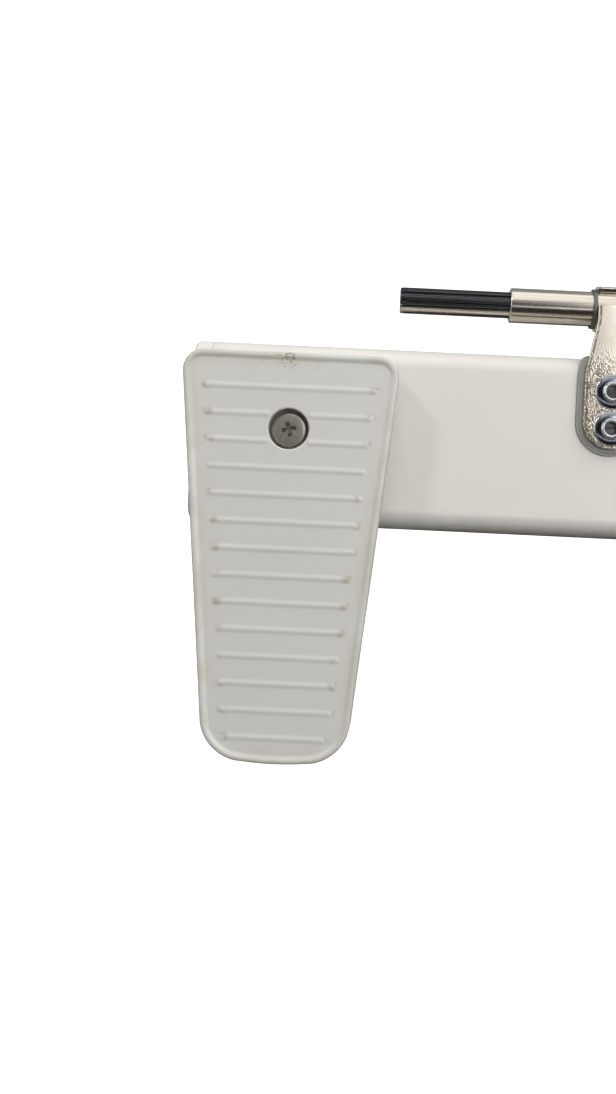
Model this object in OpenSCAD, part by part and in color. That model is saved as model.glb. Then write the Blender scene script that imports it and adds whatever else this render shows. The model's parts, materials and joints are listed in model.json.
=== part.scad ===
// Stair gate latch: a bar that hangs from a hinge sleeve with a sprung bolt in it, and a paddle
// that turns on the bar's end. X runs along the bar, Z is up, and the front faces -Y. The origin
// is on the sleeve's axis, where its clamped part ends at the barrel.

/* [Spindle] */
// Outer diameter of the sleeve
sleeve_d = 8; // [7.8:0.1:10]
// Wall of the sleeve
sleeve_wall = 0.95; // [0.8:0.05:1.0]
// Length of the sleeve that a clamp holds
grip_len = 19.1; // [15:0.1:30]
// Width of each ring groove
ring_groove_w = 0.9; // [0.8:0.05:1.2]
// Depth of each ring groove
ring_groove_depth = 0.35; // [0.25:0.05:0.4]
// Height of each ring above the sleeve
ring_height = 0.55; // [0.4:0.05:1]
// Thickness of the thrust washer
thrust_t = 0.5; // [0.4:0.05:0.8]

/* [Bolt] */
// Length of the bolt outside the sleeve
bolt_out = 25.5; // [20:0.1:40]
// Length of the bolt guided in the sleeve
bolt_in = 11.1; // [9:0.1:12]
// Diameter of the stem behind the bolt's shoulder
stem_d = 3; // [2.6:0.1:3.2]
// Travel of the bolt
bolt_travel = 18; // [12:0.5:18]
// Number of flutes along the bolt
flute_count = 8; // [6:1:10]
// Radius of the cutter that makes a flute
flute_r = 0.6; // [0.4:0.05:0.7]
// Diameter of the spring's wire
spring_wire = 0.7; // [0.5:0.05:0.75]
// Number of turns in the spring
spring_turns = 15; // [10:1:18]
// Space left between the spring's turns, in all, when the bolt is drawn back
spring_spare = 3; // [2:0.1:6]
// Diameter of the knob
knob_d = 14; // [11:0.5:16]
// Length of the knob
knob_len = 12; // [9:0.5:16]
// Diameter of the knob's cross pin
knob_pin_d = 1.2; // [1:0.1:1.4]

/* [Rail] */
// Height of the rail
rail_h = 42; // [38:0.5:52]
// Depth of the rail
rail_d = 15; // [13:0.5:20]
// Wall of the rail
rail_wall = 1.5; // [1.2:0.1:2]
// Radius of the rail's long edges
rail_r = 4.5; // [3:0.1:5]
// Length of the rail to the left of the origin, with its cap
rail_left = 91.5; // [88:0.5:120]
// Length of the rail to the right of the origin, with its cap
rail_right = 49; // [40:0.5:90]
// Drop from the sleeve's axis to the rail's top
rail_drop = 11.5; // [10.5:0.1:15]
// Length of the visible part of an end cap
cap_len = 4; // [3:0.1:6]
// Length of the plug on an end cap
cap_plug_len = 8; // [6:0.5:12]

/* [Bracket] */
// Thickness of the bracket's sheet
sheet_t = 1.2; // [0.8:0.05:1.3]
// Length of the barrel
barrel_len = 8; // [7:0.1:12]
// Width of the leaf where it meets the barrel
leaf_neck_w = 8; // [7:0.1:12]
// Width of the leaf on the rail
leaf_w = 12.7; // [12:0.1:18]
// Length of the leaf from the sleeve's axis to its tip
leaf_len = 32.9; // [32:0.1:40]
// Thickness of the pad behind the leaf
pad_t = 1; // [0.6:0.05:1.1]
// Border of the pad round the leaf
pad_border = 1.5; // [0.6:0.1:2]
// Distance from the sleeve's axis to the upper rivet
rivet_z = 19.8; // [18.5:0.1:20.5]
// Distance between the two rivets
rivet_pitch = 8.4; // [8.3:0.1:9]
// Diameter of a rivet's flange
rivet_flange_d = 8; // [7:0.1:8]
// Diameter of a rivet's shank
rivet_shank_d = 4; // [3.6:0.1:4.4]
// Diameter of the hole in a rivet
rivet_hole_d = 2.9; // [2.4:0.1:3]

/* [Paddle] */
// Height of the paddle above the pivot screw
paddle_above = 16.8; // [16.5:0.1:24]
// Height of the paddle below the pivot screw
paddle_below = 73.8; // [70:0.1:90]
// Width of the paddle at its top
paddle_top_w = 48.4; // [46:0.1:58]
// Width of the paddle at its bottom
paddle_low_w = 31.2; // [28:0.1:40]
// Radius of the top corners
paddle_top_r = 4.6; // [3:0.1:5]
// Radius of the bottom corners
paddle_low_r = 9.5; // [7:0.1:11]
// Sag of the bottom edge between its corners
paddle_sag = 1.2; // [0.6:0.1:2]
// Depth of the paddle from its back to its face
paddle_d = 7.6; // [7.2:0.1:10]
// Wall of the paddle
paddle_wall = 1.8; // [1.4:0.1:2.2]
// Thickness of the back plate
paddle_back_t = 2.4; // [2:0.1:2.6]
// Gap between the rail and the paddle
paddle_gap = 4; // [3.8:0.1:6]
// Width of the rim round the face
rim_w = 1.3; // [1:0.1:2]
// Height of the rim and the ribs above the face
rib_h = 0.6; // [0.4:0.05:1]
// Width of a rib
rib_w = 1.4; // [1:0.1:2]
// Number of ribs
rib_count = 14; // [8:1:14]
// Distance between ribs
rib_pitch = 5.92; // [5:0.01:6.2]
// Distance from the paddle's top to the first rib
rib_first = 7.8; // [6:0.1:9]
// Space between a rib's ends and the paddle's edge
rib_margin = 4.1; // [3.5:0.1:6]
// Diameter of the screw recess
recess_d = 8.9; // [8.8:0.1:10]
// Distance from the pivot screw to the small hole
small_hole_drop = 38.4; // [36:0.1:44]
// Diameter of the small hole
small_hole_d = 1.8; // [1.5:0.1:2.2]
// Turn of the paddle to each side, in degrees
paddle_turn = 90; // [60:5:90]

/* [Pivot] */
// Distance from the rail's left end to the pivot screw
pivot_inset = 23.9; // [22:0.1:30]
// Diameter of the pivot screw's thread
screw_d = 4; // [3.8:0.1:4]
// Diameter of the pivot screw's head
screw_head_d = 7.6; // [7:0.1:7.8]
// Height of the pivot screw's head
screw_head_h = 2.4; // [2:0.1:2.6]
// Outer diameter of the shoulder bush
bush_d = 6.4; // [6.2:0.1:7]
// Outer diameter of the bush's flange and the friction washer
bush_flange_d = 12; // [11:0.1:13]
// Thickness of the friction washer
friction_t = 0.6; // [0.4:0.05:0.8]
// Thickness of the washer under the screw head
washer_t = 0.8; // [0.6:0.05:1]
// Distance from the pivot screw to the stop pin
stop_r = 11; // [10.5:0.1:12]
// Diameter of the stop pin
stop_d = 3; // [2.5:0.1:3]

/* [Fits] */
// Radial clearance of a running fit
running_gap = 0.05; // [0.02:0.01:0.08]
// End play of a turning piece between its shoulders
end_play = 0.05; // [0.03:0.01:0.15]
// Clearance round pieces that don't touch
free_gap = 0.2; // [0.15:0.01:0.25]

/* [Hidden] */
$fn = 64;
eps = 0.01;
over = 1;

// Spindle, along X
sleeve_r = sleeve_d / 2;
sleeve_bore_r = sleeve_r - sleeve_wall;
groove_r = sleeve_r - ring_groove_depth;
barrel_x = ring_groove_w + end_play;
barrel_end = barrel_x + barrel_len;
thrust_x = barrel_end + end_play;
clip_x = thrust_x + thrust_t + end_play;
plug_len = 5;
plug_flange_t = 1.2;
shoulder_x = bolt_in - grip_len;
spring_len = bolt_travel + spring_turns * spring_wire + spring_spare;
sleeve_end = max(shoulder_x + spring_len, clip_x + ring_groove_w + 1) + plug_len;
plug_x = sleeve_end - plug_len;
key_len = 3;
key_w = 0.6;
key_depth = 0.35;

// Bolt, along X
rod_r = sleeve_bore_r - running_gap;
stem_r = stem_d / 2;
bolt_tip = -(grip_len + bolt_out);
knob_x = sleeve_end + plug_flange_t + end_play;
knob_end = knob_x + knob_len;
knob_pin_x = knob_x + knob_len * 0.35;
spring_r = (stem_r + sleeve_bore_r) / 2;

// Bracket, pad and rail, along Y from the front
barrel_bore_r = sleeve_r + running_gap;
barrel_r = barrel_bore_r + sheet_t;
leaf_front = -(barrel_r - 0.06);
leaf_back = leaf_front + sheet_t;
rail_front = leaf_back + pad_t;
rail_back = rail_front + rail_d;
rail_top = -rail_drop;
rail_mid = rail_top - rail_h / 2;
leaf_x = barrel_x + barrel_len / 2;
neck_end = sqrt(barrel_r * barrel_r - leaf_back * leaf_back) + 0.3;
rivet_zs = [-rivet_z, -rivet_z - rivet_pitch];
rivet_flange_t = 0.8;
rivet_ring_h = 0.35;
rivet_grip_end = rail_front + rail_wall;

// Paddle and pivot, along Y from the back
pivot_x = pivot_inset - rail_left;
pivot_z = rail_mid;
paddle_back_y = rail_front - paddle_gap;
paddle_face_y = paddle_back_y - paddle_d;
insert_r = 3;
insert_flange_t = 0.8;
bush_flange_y = rail_front - insert_flange_t;
bush_flange_end = paddle_back_y + end_play + friction_t + end_play;
hub_y = paddle_back_y - 3.2;
bush_end = hub_y - end_play;
washer_end = bush_end - washer_t;
head_end = washer_end - screw_head_h;
insert_len = 8;
hub_r = bush_d / 2 + running_gap + 3;
slot_r = stop_d / 2 + free_gap;
flute_turn = 180 / flute_count;
upper_screw = [17, paddle_above - 9];
screw_spots = [[-upper_screw[0], upper_screw[1]], upper_screw, [0, -small_hole_drop]];
last_rib_narrowing = 0.8;
boss_r = 2.6;
pilot_r = 0.9;
tapping_head_r = 2.2;
tapping_head_h = 1.2;
bumper_spots = [[-7.5, -paddle_below + 17.5], [7.5, -paddle_below + 17.5]];

// Points of a polygon whose corners are arcs, from corners taken anticlockwise and their radii.
function unit(v) = v / norm(v);
function corner_arc(before, at, after, r, steps) =
    let (u = unit(before - at), v = unit(after - at), half = acos(u * v) / 2,
        centre = at + unit(u + v) * r / sin(half),
        sweep = (u[1] * v[0] > u[0] * v[1] ? 1 : -1) * (180 - 2 * half),
        from = at + u * r / tan(half) - centre)
    [for (i = [0:steps]) let (a = sweep * i / steps)
        centre + [from[0] * cos(a) - from[1] * sin(a), from[0] * sin(a) + from[1] * cos(a)]];
function rounded(corners, radii, steps = 8) =
    let (n = len(corners))
    [for (i = [0:n - 1]) each corner_arc(corners[(i + n - 1) % n], corners[i],
        corners[(i + 1) % n], radii[i], steps)];

// Outline of the paddle in its own plane, inset all round, with the pivot at the origin.
function paddle_half(z) = paddle_low_w / 2
    + (paddle_top_w - paddle_low_w) / 2 * (z + paddle_below) / (paddle_above + paddle_below);
function paddle_outline(inset) =
    let (top = paddle_above - inset, low = -paddle_below + paddle_sag + inset,
        top_r = max(paddle_top_r - inset, 0.6), low_r = max(paddle_low_r - inset, 0.6))
    rounded([[paddle_half(top) - inset, top], [-paddle_half(top) + inset, top],
        [-paddle_half(low) + inset, low], [0, low - paddle_sag], [paddle_half(low) - inset, low]],
        [top_r, top_r, low_r, 60, low_r]);

// Cylinder along X from one place to another.
module along_x(from, to, r) {
    translate([from, 0, 0]) rotate([0, 90, 0]) cylinder(h = to - from, r = r);
}

// Cylinder along Y at a place on the XZ plane.
module along_y(x, z, from, to, r) {
    translate([x, from, z]) rotate([-90, 0, 0]) cylinder(h = to - from, r = r);
}

// Outline in the XZ plane, extruded along Y.
module plate(points, from, to) {
    translate([0, to, 0]) rotate([90, 0, 0]) linear_extrude(to - from) polygon(points);
}

// Ring round X with its ends eased.
module eased_ring(from, to, r, ease) {
    translate([from, 0, 0]) rotate([0, 90, 0]) rotate_extrude()
        polygon([[0, 0], [r - ease, 0], [r, ease], [r, to - from - ease],
            [r - ease, to - from], [0, to - from]]);
}

// Places its children on the paddle's plane, with the pivot as their origin.
module at_pivot() {
    translate([pivot_x, 0, pivot_z]) children();
}

module groove(from) {
    difference() {
        along_x(from, from + ring_groove_w, sleeve_r + over);
        along_x(from - over, from + ring_groove_w + over, groove_r);
    }
}

module spindle_sleeve() {
    color("#c9c0a8") {
        difference() {
            eased_ring(-grip_len, sleeve_end, sleeve_r, 0.3);
            along_x(-grip_len - over, sleeve_end + over, sleeve_bore_r);
            groove(0);
            groove(clip_x);
        }
        for (side = [0, 180]) rotate([side + flute_turn, 0, 0]) key_tooth();
    }
}

// Tooth in the sleeve's mouth that runs in a flute and keeps the bolt from turning.
module key_tooth() {
    key_low = sleeve_bore_r - key_depth;
    translate([-grip_len + 0.4, -key_w / 2, key_low])
        cube([key_len, key_w, sleeve_bore_r + 0.2 - key_low]);
}

module sleeve_plug() {
    color("#b59a5b") difference() {
        union() {
            along_x(plug_x, sleeve_end, sleeve_bore_r);
            along_x(sleeve_end, sleeve_end + plug_flange_t, sleeve_r - 0.1);
        }
        along_x(plug_x - over, sleeve_end + plug_flange_t + over, stem_r + running_gap);
    }
}

// Open ring in a groove of the sleeve.
module groove_ring(from, width) {
    difference() {
        along_x(from, from + width, sleeve_r + ring_height);
        along_x(from - over, from + width + over, groove_r);
        translate([from - over, -0.8, -sleeve_r - 2]) cube([width + 2 * over, 1.6, sleeve_r]);
    }
}

module snap_ring() {
    color("#8d8878") groove_ring(end_play / 2, ring_groove_w - end_play);
}

module retaining_ring() {
    color("#5c5a55") groove_ring(clip_x + end_play / 2, ring_groove_w - end_play);
}

module thrust_washer() {
    color("#e9e6dc") difference() {
        along_x(thrust_x, thrust_x + thrust_t, barrel_r);
        along_x(thrust_x - over, thrust_x + thrust_t + over, barrel_bore_r);
    }
}

module bolt_rod() {
    color("#45484a") difference() {
        union() {
            eased_ring(bolt_tip, shoulder_x, rod_r, 0.3);
            along_x(shoulder_x - 1, knob_end - 1.5, stem_r);
        }
        for (i = [0:flute_count - 1]) rotate([flute_turn + i * 360 / flute_count, 0, 0])
            translate([0, 0, rod_r]) along_x(bolt_tip - over, shoulder_x - 1.5, flute_r);
        along_y(knob_pin_x, 0, -knob_d, knob_d, knob_pin_d / 2);
    }
}

// Helix of a round wire along X as one closed skin.
module bolt_spring() {
    sides = 6;
    per_turn = 10;
    wire_r = spring_wire / 2;
    from = shoulder_x + wire_r + 0.1;
    to = plug_x - wire_r - 0.1;
    rings = spring_turns * per_turn;
    points = [for (i = [0:rings]) let (a = 360 * i / per_turn, x = from + (to - from) * i / rings)
        for (j = [0:sides - 1]) let (b = 360 * j / sides, r = spring_r + wire_r * cos(b))
        [x + wire_r * sin(b), r * cos(a), r * sin(a)]];
    sides_faces = [for (i = [0:rings - 1]) for (j = [0:sides - 1])
        let (k = (j + 1) % sides, a = i * sides, b = a + sides)
        each [[a + j, b + j, a + k], [a + k, b + j, b + k]]];
    first = [for (j = [1:sides - 2]) [0, j, j + 1]];
    last = [for (j = [1:sides - 2]) [rings * sides, rings * sides + j + 1, rings * sides + j]];
    color("#a8a9a6") polyhedron(points, concat(sides_faces, first, last));
}

module pull_knob() {
    grips = 12;
    color("#2f3133") difference() {
        eased_ring(knob_x, knob_end, knob_d / 2, 1);
        along_x(knob_x - over, knob_end - 1.5, stem_r);
        for (i = [0:grips - 1]) rotate([(i + 0.5) * 360 / grips, 0, 0])
            translate([0, 0, knob_d / 2 + 0.5]) along_x(knob_x - over, knob_end + over, 1);
        along_y(knob_pin_x, 0, -knob_d, knob_d, knob_pin_d / 2);
    }
}

module knob_pin() {
    color("#9a9c9d") along_y(knob_pin_x, 0, -knob_d / 2 + 1, knob_d / 2 - 1, knob_pin_d / 2);
}

// Cross-section of the rail in YZ, inset from its outside, extruded along X.
module rail_block(from, to, inset) {
    y0 = rail_front + inset;
    y1 = rail_back - inset;
    z0 = rail_top - rail_h + inset;
    z1 = rail_top - inset;
    r = max(rail_r - inset, 0.5);
    translate([from, 0, 0]) rotate([90, 0, 90]) linear_extrude(to - from)
        polygon(rounded([[y0, z0], [y1, z0], [y1, z1], [y0, z1]], [r, r, r, r], 10));
}

module rail() {
    color("#d6d2cc") difference() {
        rail_block(-rail_left + cap_len, rail_right - cap_len, 0);
        rail_block(-rail_left, rail_right, rail_wall);
        at_pivot() along_y(0, 0, rail_front - over, rail_front + rail_wall + over, insert_r);
        at_pivot() along_y(0, stop_r, rail_front - over, rail_front + rail_wall + over, stop_d / 2);
        for (z = rivet_zs)
            along_y(leaf_x, z, rail_front - over, rail_front + rail_wall + over, rivet_shank_d / 2);
    }
}

// End cap: a solid end with a hollow plug that goes into the rail. It is drawn at the left end.
module rail_cap() {
    plug_wall = 1.4;
    seam = -rail_left + cap_len;
    inner = rail_wall + free_gap / 2;
    difference() {
        union() {
            rail_block(-rail_left, seam, 0);
            rail_block(seam - eps, seam + cap_plug_len, inner);
        }
        rail_block(seam - cap_len + 1.6, seam + cap_plug_len + over, inner + plug_wall);
    }
}

module rail_cap_left() {
    color("#dedad3") rail_cap();
}

module rail_cap_right() {
    color("#dedad3") translate([rail_right - rail_left, 0, 0]) mirror([1, 0, 0]) rail_cap();
}

// Outline of the leaf in XZ about its centre line. It widens once it is clear of the barrel.
function leaf_half(z) = let (t = (-neck_end - z) / (rivet_z - rivet_flange_d / 2 - neck_end))
    leaf_neck_w / 2 + (leaf_w - leaf_neck_w) / 2 * min(max(t, 0), 1);
function leaf_outline() =
    let (w = leaf_w / 2, neck = leaf_neck_w / 2, wide_z = -rivet_z + rivet_flange_d / 2)
    rounded([[w, -leaf_len], [w, wide_z], [neck, -neck_end], [neck, -1], [-neck, -1],
        [-neck, -neck_end], [-w, wide_z], [-w, -leaf_len]],
        [w - 0.05, 16, 8, 0.3, 0.3, 8, 16, w - 0.05]);

// Outline of the pad: the leaf's on the rail, with a border round it.
function pad_outline() =
    let (w = leaf_w / 2 + pad_border, low = -leaf_len - pad_border, top = rail_top,
        top_w = leaf_half(top) + pad_border, wide_z = -rivet_z + rivet_flange_d / 2)
    rounded([[w, low], [w, wide_z], [top_w, top], [-top_w, top], [-w, wide_z], [-w, low]],
        [w - 0.05, 16, 0.3, 0.3, 16, w - 0.05]);

module hinge_bracket() {
    color("#c8b898") difference() {
        union() {
            eased_ring(barrel_x, barrel_end, barrel_r, 0.3);
            translate([leaf_x, 0, 0]) plate(leaf_outline(), leaf_front, leaf_back);
        }
        along_x(barrel_x - over, barrel_end + over, barrel_bore_r);
        translate([barrel_x - over, leaf_back + 0.02, -barrel_r - over])
            cube([barrel_len + 2 * over, 2, barrel_r]);
        for (z = rivet_zs)
            along_y(leaf_x, z, leaf_front - over, leaf_back + over, rivet_shank_d / 2);
    }
}

module bracket_pad() {
    color("#8a8b84") difference() {
        translate([leaf_x, 0, 0]) plate(pad_outline(), leaf_back, rail_front);
        for (z = rivet_zs)
            along_y(leaf_x, z, leaf_back - over, rail_front + over, rivet_shank_d / 2);
    }
}

// Hollow rivet: a dished flange with a raised ring, a shank and a bulb behind the rail's wall.
module rivet(z) {
    flange_r = rivet_flange_d / 2;
    shank_r = rivet_shank_d / 2;
    hole_r = rivet_hole_d / 2;
    flange_y = leaf_front - rivet_flange_t;
    ring_r = hole_r + 1;
    translate([leaf_x, 0, z]) rotate([-90, 0, 0]) rotate_extrude() polygon([
        [hole_r, flange_y - rivet_ring_h], [ring_r - 0.3, flange_y - rivet_ring_h],
        [ring_r, flange_y], [flange_r - 0.5, flange_y], [flange_r, leaf_front - 0.3],
        [flange_r, leaf_front], [shank_r, leaf_front], [shank_r, rivet_grip_end],
        [shank_r + 1, rivet_grip_end], [shank_r + 0.8, rivet_grip_end + 3.5],
        [hole_r, rivet_grip_end + 4]]);
}

module bracket_rivets() {
    color("#aab4c0") for (z = rivet_zs) rivet(z);
}

module rivet_mandrels() {
    color("#3c3e40") for (z = rivet_zs) {
        along_y(leaf_x, z, leaf_front + 0.6, rivet_grip_end + 4, rivet_hole_d / 2);
        along_y(leaf_x, z, rivet_grip_end + 4, rivet_grip_end + 5.5, rivet_hole_d / 2 + 0.8);
    }
}

module pivot_insert() {
    color("#c9b37a") at_pivot() difference() {
        union() {
            along_y(0, 0, bush_flange_y, rail_front, insert_r + 1.5);
            along_y(0, 0, bush_flange_y, rail_front + insert_len, insert_r);
            along_y(0, 0, rivet_grip_end, rivet_grip_end + 1.6, insert_r + 1.2);
        }
        along_y(0, 0, bush_flange_y - over, rail_front + insert_len + over, screw_d / 2);
    }
}

module pivot_bush() {
    color("#b9bab6") at_pivot() difference() {
        union() {
            along_y(0, 0, bush_flange_end, bush_flange_y, bush_flange_d / 2);
            along_y(0, 0, bush_end, bush_flange_y, bush_d / 2);
        }
        along_y(0, 0, bush_end - over, bush_flange_y + over, screw_d / 2 + free_gap / 2);
    }
}

module friction_washer() {
    color("#6f7275") at_pivot() difference() {
        along_y(0, 0, bush_flange_end - friction_t, bush_flange_end, bush_flange_d / 2);
        along_y(0, 0, bush_flange_end - over, bush_flange_end + over, bush_d / 2);
    }
}

module pivot_washer() {
    color("#8c877a") at_pivot() difference() {
        along_y(0, 0, washer_end, bush_end, recess_d / 2 - free_gap);
        along_y(0, 0, washer_end - over, bush_end + over, screw_d / 2);
    }
}

// Pan head screw with a cross recess that is turned a little.
module pivot_screw() {
    cross_len = 3.7;
    cross_w = 0.9;
    cross_turn = 15;
    dome_h = 0.9;
    head_r = screw_head_d / 2;
    dome_r = (head_r * head_r + dome_h * dome_h) / (2 * dome_h);
    color("#77736a") at_pivot() difference() {
        union() {
            along_y(0, 0, washer_end, rail_front + insert_len - 1, screw_d / 2);
            intersection() {
                along_y(0, 0, head_end, washer_end, head_r);
                translate([0, head_end + dome_r, 0]) sphere(r = dome_r, $fn = 96);
            }
        }
        for (a = [0, 90]) rotate([0, a + cross_turn, 0])
            translate([-cross_len / 2, head_end - over, -cross_w / 2])
            cube([cross_len, 1.4 + over, cross_w]);
    }
}

module stop_pin() {
    color("#8f9193") at_pivot()
        along_y(0, stop_r, paddle_back_y - paddle_back_t + 0.3, rail_front + rail_wall + 1, stop_d / 2);
}

// One rib of the face: a bar with round ends between two places along X.
module rib(from, to, z) {
    w = rib_w / 2;
    plate(rounded([[to, z - w], [to, z + w], [from, z + w], [from, z - w]], [w, w, w, w] * 0.98, 6),
        paddle_face_y - rib_h, paddle_face_y + 0.3);
}

// Ribs across the face. Those that meet the screw recess stop short of it on both sides.
module ribs() {
    clear_r = recess_d / 2 + 1;
    for (i = [0:rib_count - 1]) {
        z = paddle_above - rib_first - i * rib_pitch;
        narrowing = i == rib_count - 1 ? last_rib_narrowing : 0;
        half = paddle_half(z) - rib_margin - narrowing;
        if (abs(z) < clear_r) {
            inner = sqrt(clear_r * clear_r - z * z);
            rib(-half, -inner, z);
            rib(inner, half, z);
        } else {
            rib(-half, half, z);
        }
    }
}

module paddle_front() {
    seam_y = paddle_back_y - paddle_back_t;
    color("#cbc9c4") at_pivot() difference() {
        union() {
            difference() {
                plate(paddle_outline(0), paddle_face_y - rib_h, seam_y);
                plate(paddle_outline(rim_w), paddle_face_y - rib_h - over, paddle_face_y);
                plate(paddle_outline(paddle_wall), paddle_face_y + paddle_wall, seam_y + over);
            }
            ribs();
            along_y(0, 0, paddle_face_y + 0.5, hub_y - 0.8, recess_d / 2 + 1.6);
            for (p = screw_spots) along_y(p[0], p[1], paddle_face_y + 0.5, seam_y, boss_r);
        }
        along_y(0, 0, paddle_face_y - over, seam_y + over, recess_d / 2);
        for (p = screw_spots) along_y(p[0], p[1], paddle_face_y + 1.2, seam_y + over, pilot_r);
        along_y(0, -small_hole_drop, paddle_face_y - over, seam_y, small_hole_d / 2);
    }
}

module paddle_back() {
    seam_y = paddle_back_y - paddle_back_t;
    sweep = paddle_turn + 1;
    color("#bfbdb8") at_pivot() difference() {
        union() {
            plate(paddle_outline(0), seam_y, paddle_back_y);
            along_y(0, 0, hub_y, seam_y + eps, hub_r);
        }
        along_y(0, 0, hub_y - over, paddle_back_y + over, bush_d / 2 + running_gap);
        rotate([-90, 0, 0]) translate([0, 0, seam_y - over])
            rotate([0, 0, -90 - sweep]) rotate_extrude(angle = 2 * sweep)
            translate([stop_r - slot_r, 0]) square([2 * slot_r, paddle_back_t + 2 * over]);
        for (a = [-sweep, sweep]) rotate([0, a, 0])
            along_y(0, stop_r, seam_y - over, paddle_back_y + over, slot_r);
        for (p = screw_spots) {
            along_y(p[0], p[1], seam_y - over, paddle_back_y + over, pilot_r + free_gap);
            along_y(p[0], p[1], paddle_back_y - tapping_head_h, paddle_back_y + over,
                tapping_head_r + free_gap);
        }
    }
}

module paddle_screws() {
    slot_w = 0.7;
    head_y = paddle_back_y - 0.1;
    color("#8b8d8f") at_pivot() for (p = screw_spots) difference() {
        union() {
            along_y(p[0], p[1], paddle_face_y + 2.6, head_y, pilot_r);
            along_y(p[0], p[1], paddle_back_y - tapping_head_h, head_y, tapping_head_r);
        }
        for (a = [0, 90]) translate([p[0], head_y, p[1]]) rotate([0, a + 20, 0])
            cube([2.4, 1.2, slot_w], center = true);
    }
}

module paddle_bumpers() {
    bumper_r = 3.5;
    color("#6b6c6a") at_pivot() for (p = bumper_spots)
        along_y(p[0], p[1], paddle_back_y, paddle_back_y + 1.2, bumper_r);
}

spindle_sleeve();
sleeve_plug();
snap_ring();
retaining_ring();
thrust_washer();
bolt_rod();
bolt_spring();
pull_knob();
knob_pin();
rail();
rail_cap_left();
rail_cap_right();
hinge_bracket();
bracket_pad();
bracket_rivets();
rivet_mandrels();
pivot_insert();
pivot_bush();
friction_washer();
pivot_washer();
pivot_screw();
stop_pin();
paddle_front();
paddle_back();
paddle_screws();
paddle_bumpers();
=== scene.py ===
import json
import math

import bmesh
import bpy
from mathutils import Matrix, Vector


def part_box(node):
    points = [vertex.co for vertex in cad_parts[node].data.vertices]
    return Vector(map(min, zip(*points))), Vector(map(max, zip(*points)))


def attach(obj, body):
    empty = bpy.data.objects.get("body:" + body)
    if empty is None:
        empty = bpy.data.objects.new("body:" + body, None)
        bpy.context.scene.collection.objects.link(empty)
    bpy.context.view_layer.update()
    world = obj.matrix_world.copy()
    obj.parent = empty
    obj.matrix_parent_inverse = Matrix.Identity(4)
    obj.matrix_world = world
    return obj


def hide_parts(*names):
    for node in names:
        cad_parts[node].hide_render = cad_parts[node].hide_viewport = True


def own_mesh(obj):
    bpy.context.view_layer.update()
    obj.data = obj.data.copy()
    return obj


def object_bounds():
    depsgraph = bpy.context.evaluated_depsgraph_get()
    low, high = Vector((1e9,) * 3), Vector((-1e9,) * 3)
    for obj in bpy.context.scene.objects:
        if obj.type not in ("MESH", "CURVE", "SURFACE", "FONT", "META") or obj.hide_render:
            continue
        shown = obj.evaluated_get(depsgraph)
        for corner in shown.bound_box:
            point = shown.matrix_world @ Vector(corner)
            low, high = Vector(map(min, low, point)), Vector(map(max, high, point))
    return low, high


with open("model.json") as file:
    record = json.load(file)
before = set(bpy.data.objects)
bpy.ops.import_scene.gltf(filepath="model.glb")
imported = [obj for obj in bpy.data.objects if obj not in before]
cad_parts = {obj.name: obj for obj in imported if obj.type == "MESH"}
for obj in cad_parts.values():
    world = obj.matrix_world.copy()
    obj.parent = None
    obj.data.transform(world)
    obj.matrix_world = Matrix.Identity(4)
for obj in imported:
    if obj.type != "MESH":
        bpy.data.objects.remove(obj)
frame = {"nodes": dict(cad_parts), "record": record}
nodes = frame["nodes"]
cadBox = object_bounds()
mm = 0.001
print("frame loaded:", len(nodes), "nodes")


# helpers that select, shape and finish

def pick(piece):
    if bpy.context.object and bpy.context.object.mode != "OBJECT":
        bpy.ops.object.mode_set(mode="OBJECT")
    bpy.ops.object.select_all(action="DESELECT")
    piece.select_set(True)
    bpy.context.view_layer.objects.active = piece


def edit(piece, mode="VERT"):
    pick(piece)
    bpy.ops.object.mode_set(mode="EDIT")
    bpy.ops.mesh.select_mode(type=mode)
    return bmesh.from_edit_mesh(piece.data)


def leave():
    bpy.ops.object.mode_set(mode="OBJECT")


def takeAll():
    bpy.ops.mesh.select_all(action="SELECT")


def editAll(piece, mode="VERT"):
    edit(piece, mode)
    takeAll()


def choose(piece, mode, test):
    shape = edit(piece, mode)
    bpy.ops.mesh.select_all(action="DESELECT")
    parts = {"VERT": shape.verts, "EDGE": shape.edges, "FACE": shape.faces}[mode]
    chosen = [part for part in parts if test(part)]
    for part in chosen:
        part.select_set(True)
    shape.select_flush_mode()
    bmesh.update_edit_mesh(piece.data)
    return len(chosen)


def middle(part):
    corners = [v.co for v in part.verts]
    return sum(corners, corners[0] * 0) / len(corners)


def trace(name, points, closed=True):
    # one corner of a plane, extruded from point to point
    bpy.ops.object.select_all(action="DESELECT")
    bpy.ops.mesh.primitive_plane_add(size=mm, location=(0, 0, 0))
    piece = bpy.context.object
    piece.name = name
    editAll(piece)
    bpy.ops.mesh.merge(type="CENTER")
    at = (0, 0, 0)
    for i, point in enumerate(points + (points[:1] if closed else [])):
        step = tuple(p - a for p, a in zip(point, at))
        if i == 0:
            bpy.ops.transform.translate(value=step)
        else:
            bpy.ops.mesh.extrude_region_move(TRANSFORM_OT_translate={"value": step})
        at = point
    takeAll()
    bpy.ops.mesh.remove_doubles(threshold=0.001 * mm)
    return piece


def reachOf(before, at, after, radius):
    # how far a rounding of this radius reaches along both edges of a corner
    one = (before[0] - at[0], before[1] - at[1])
    two = (after[0] - at[0], after[1] - at[1])
    turn = math.acos((one[0] * two[0] + one[1] * two[1]) / math.hypot(*one) / math.hypot(*two))
    return radius / math.tan(turn / 2)


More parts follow.
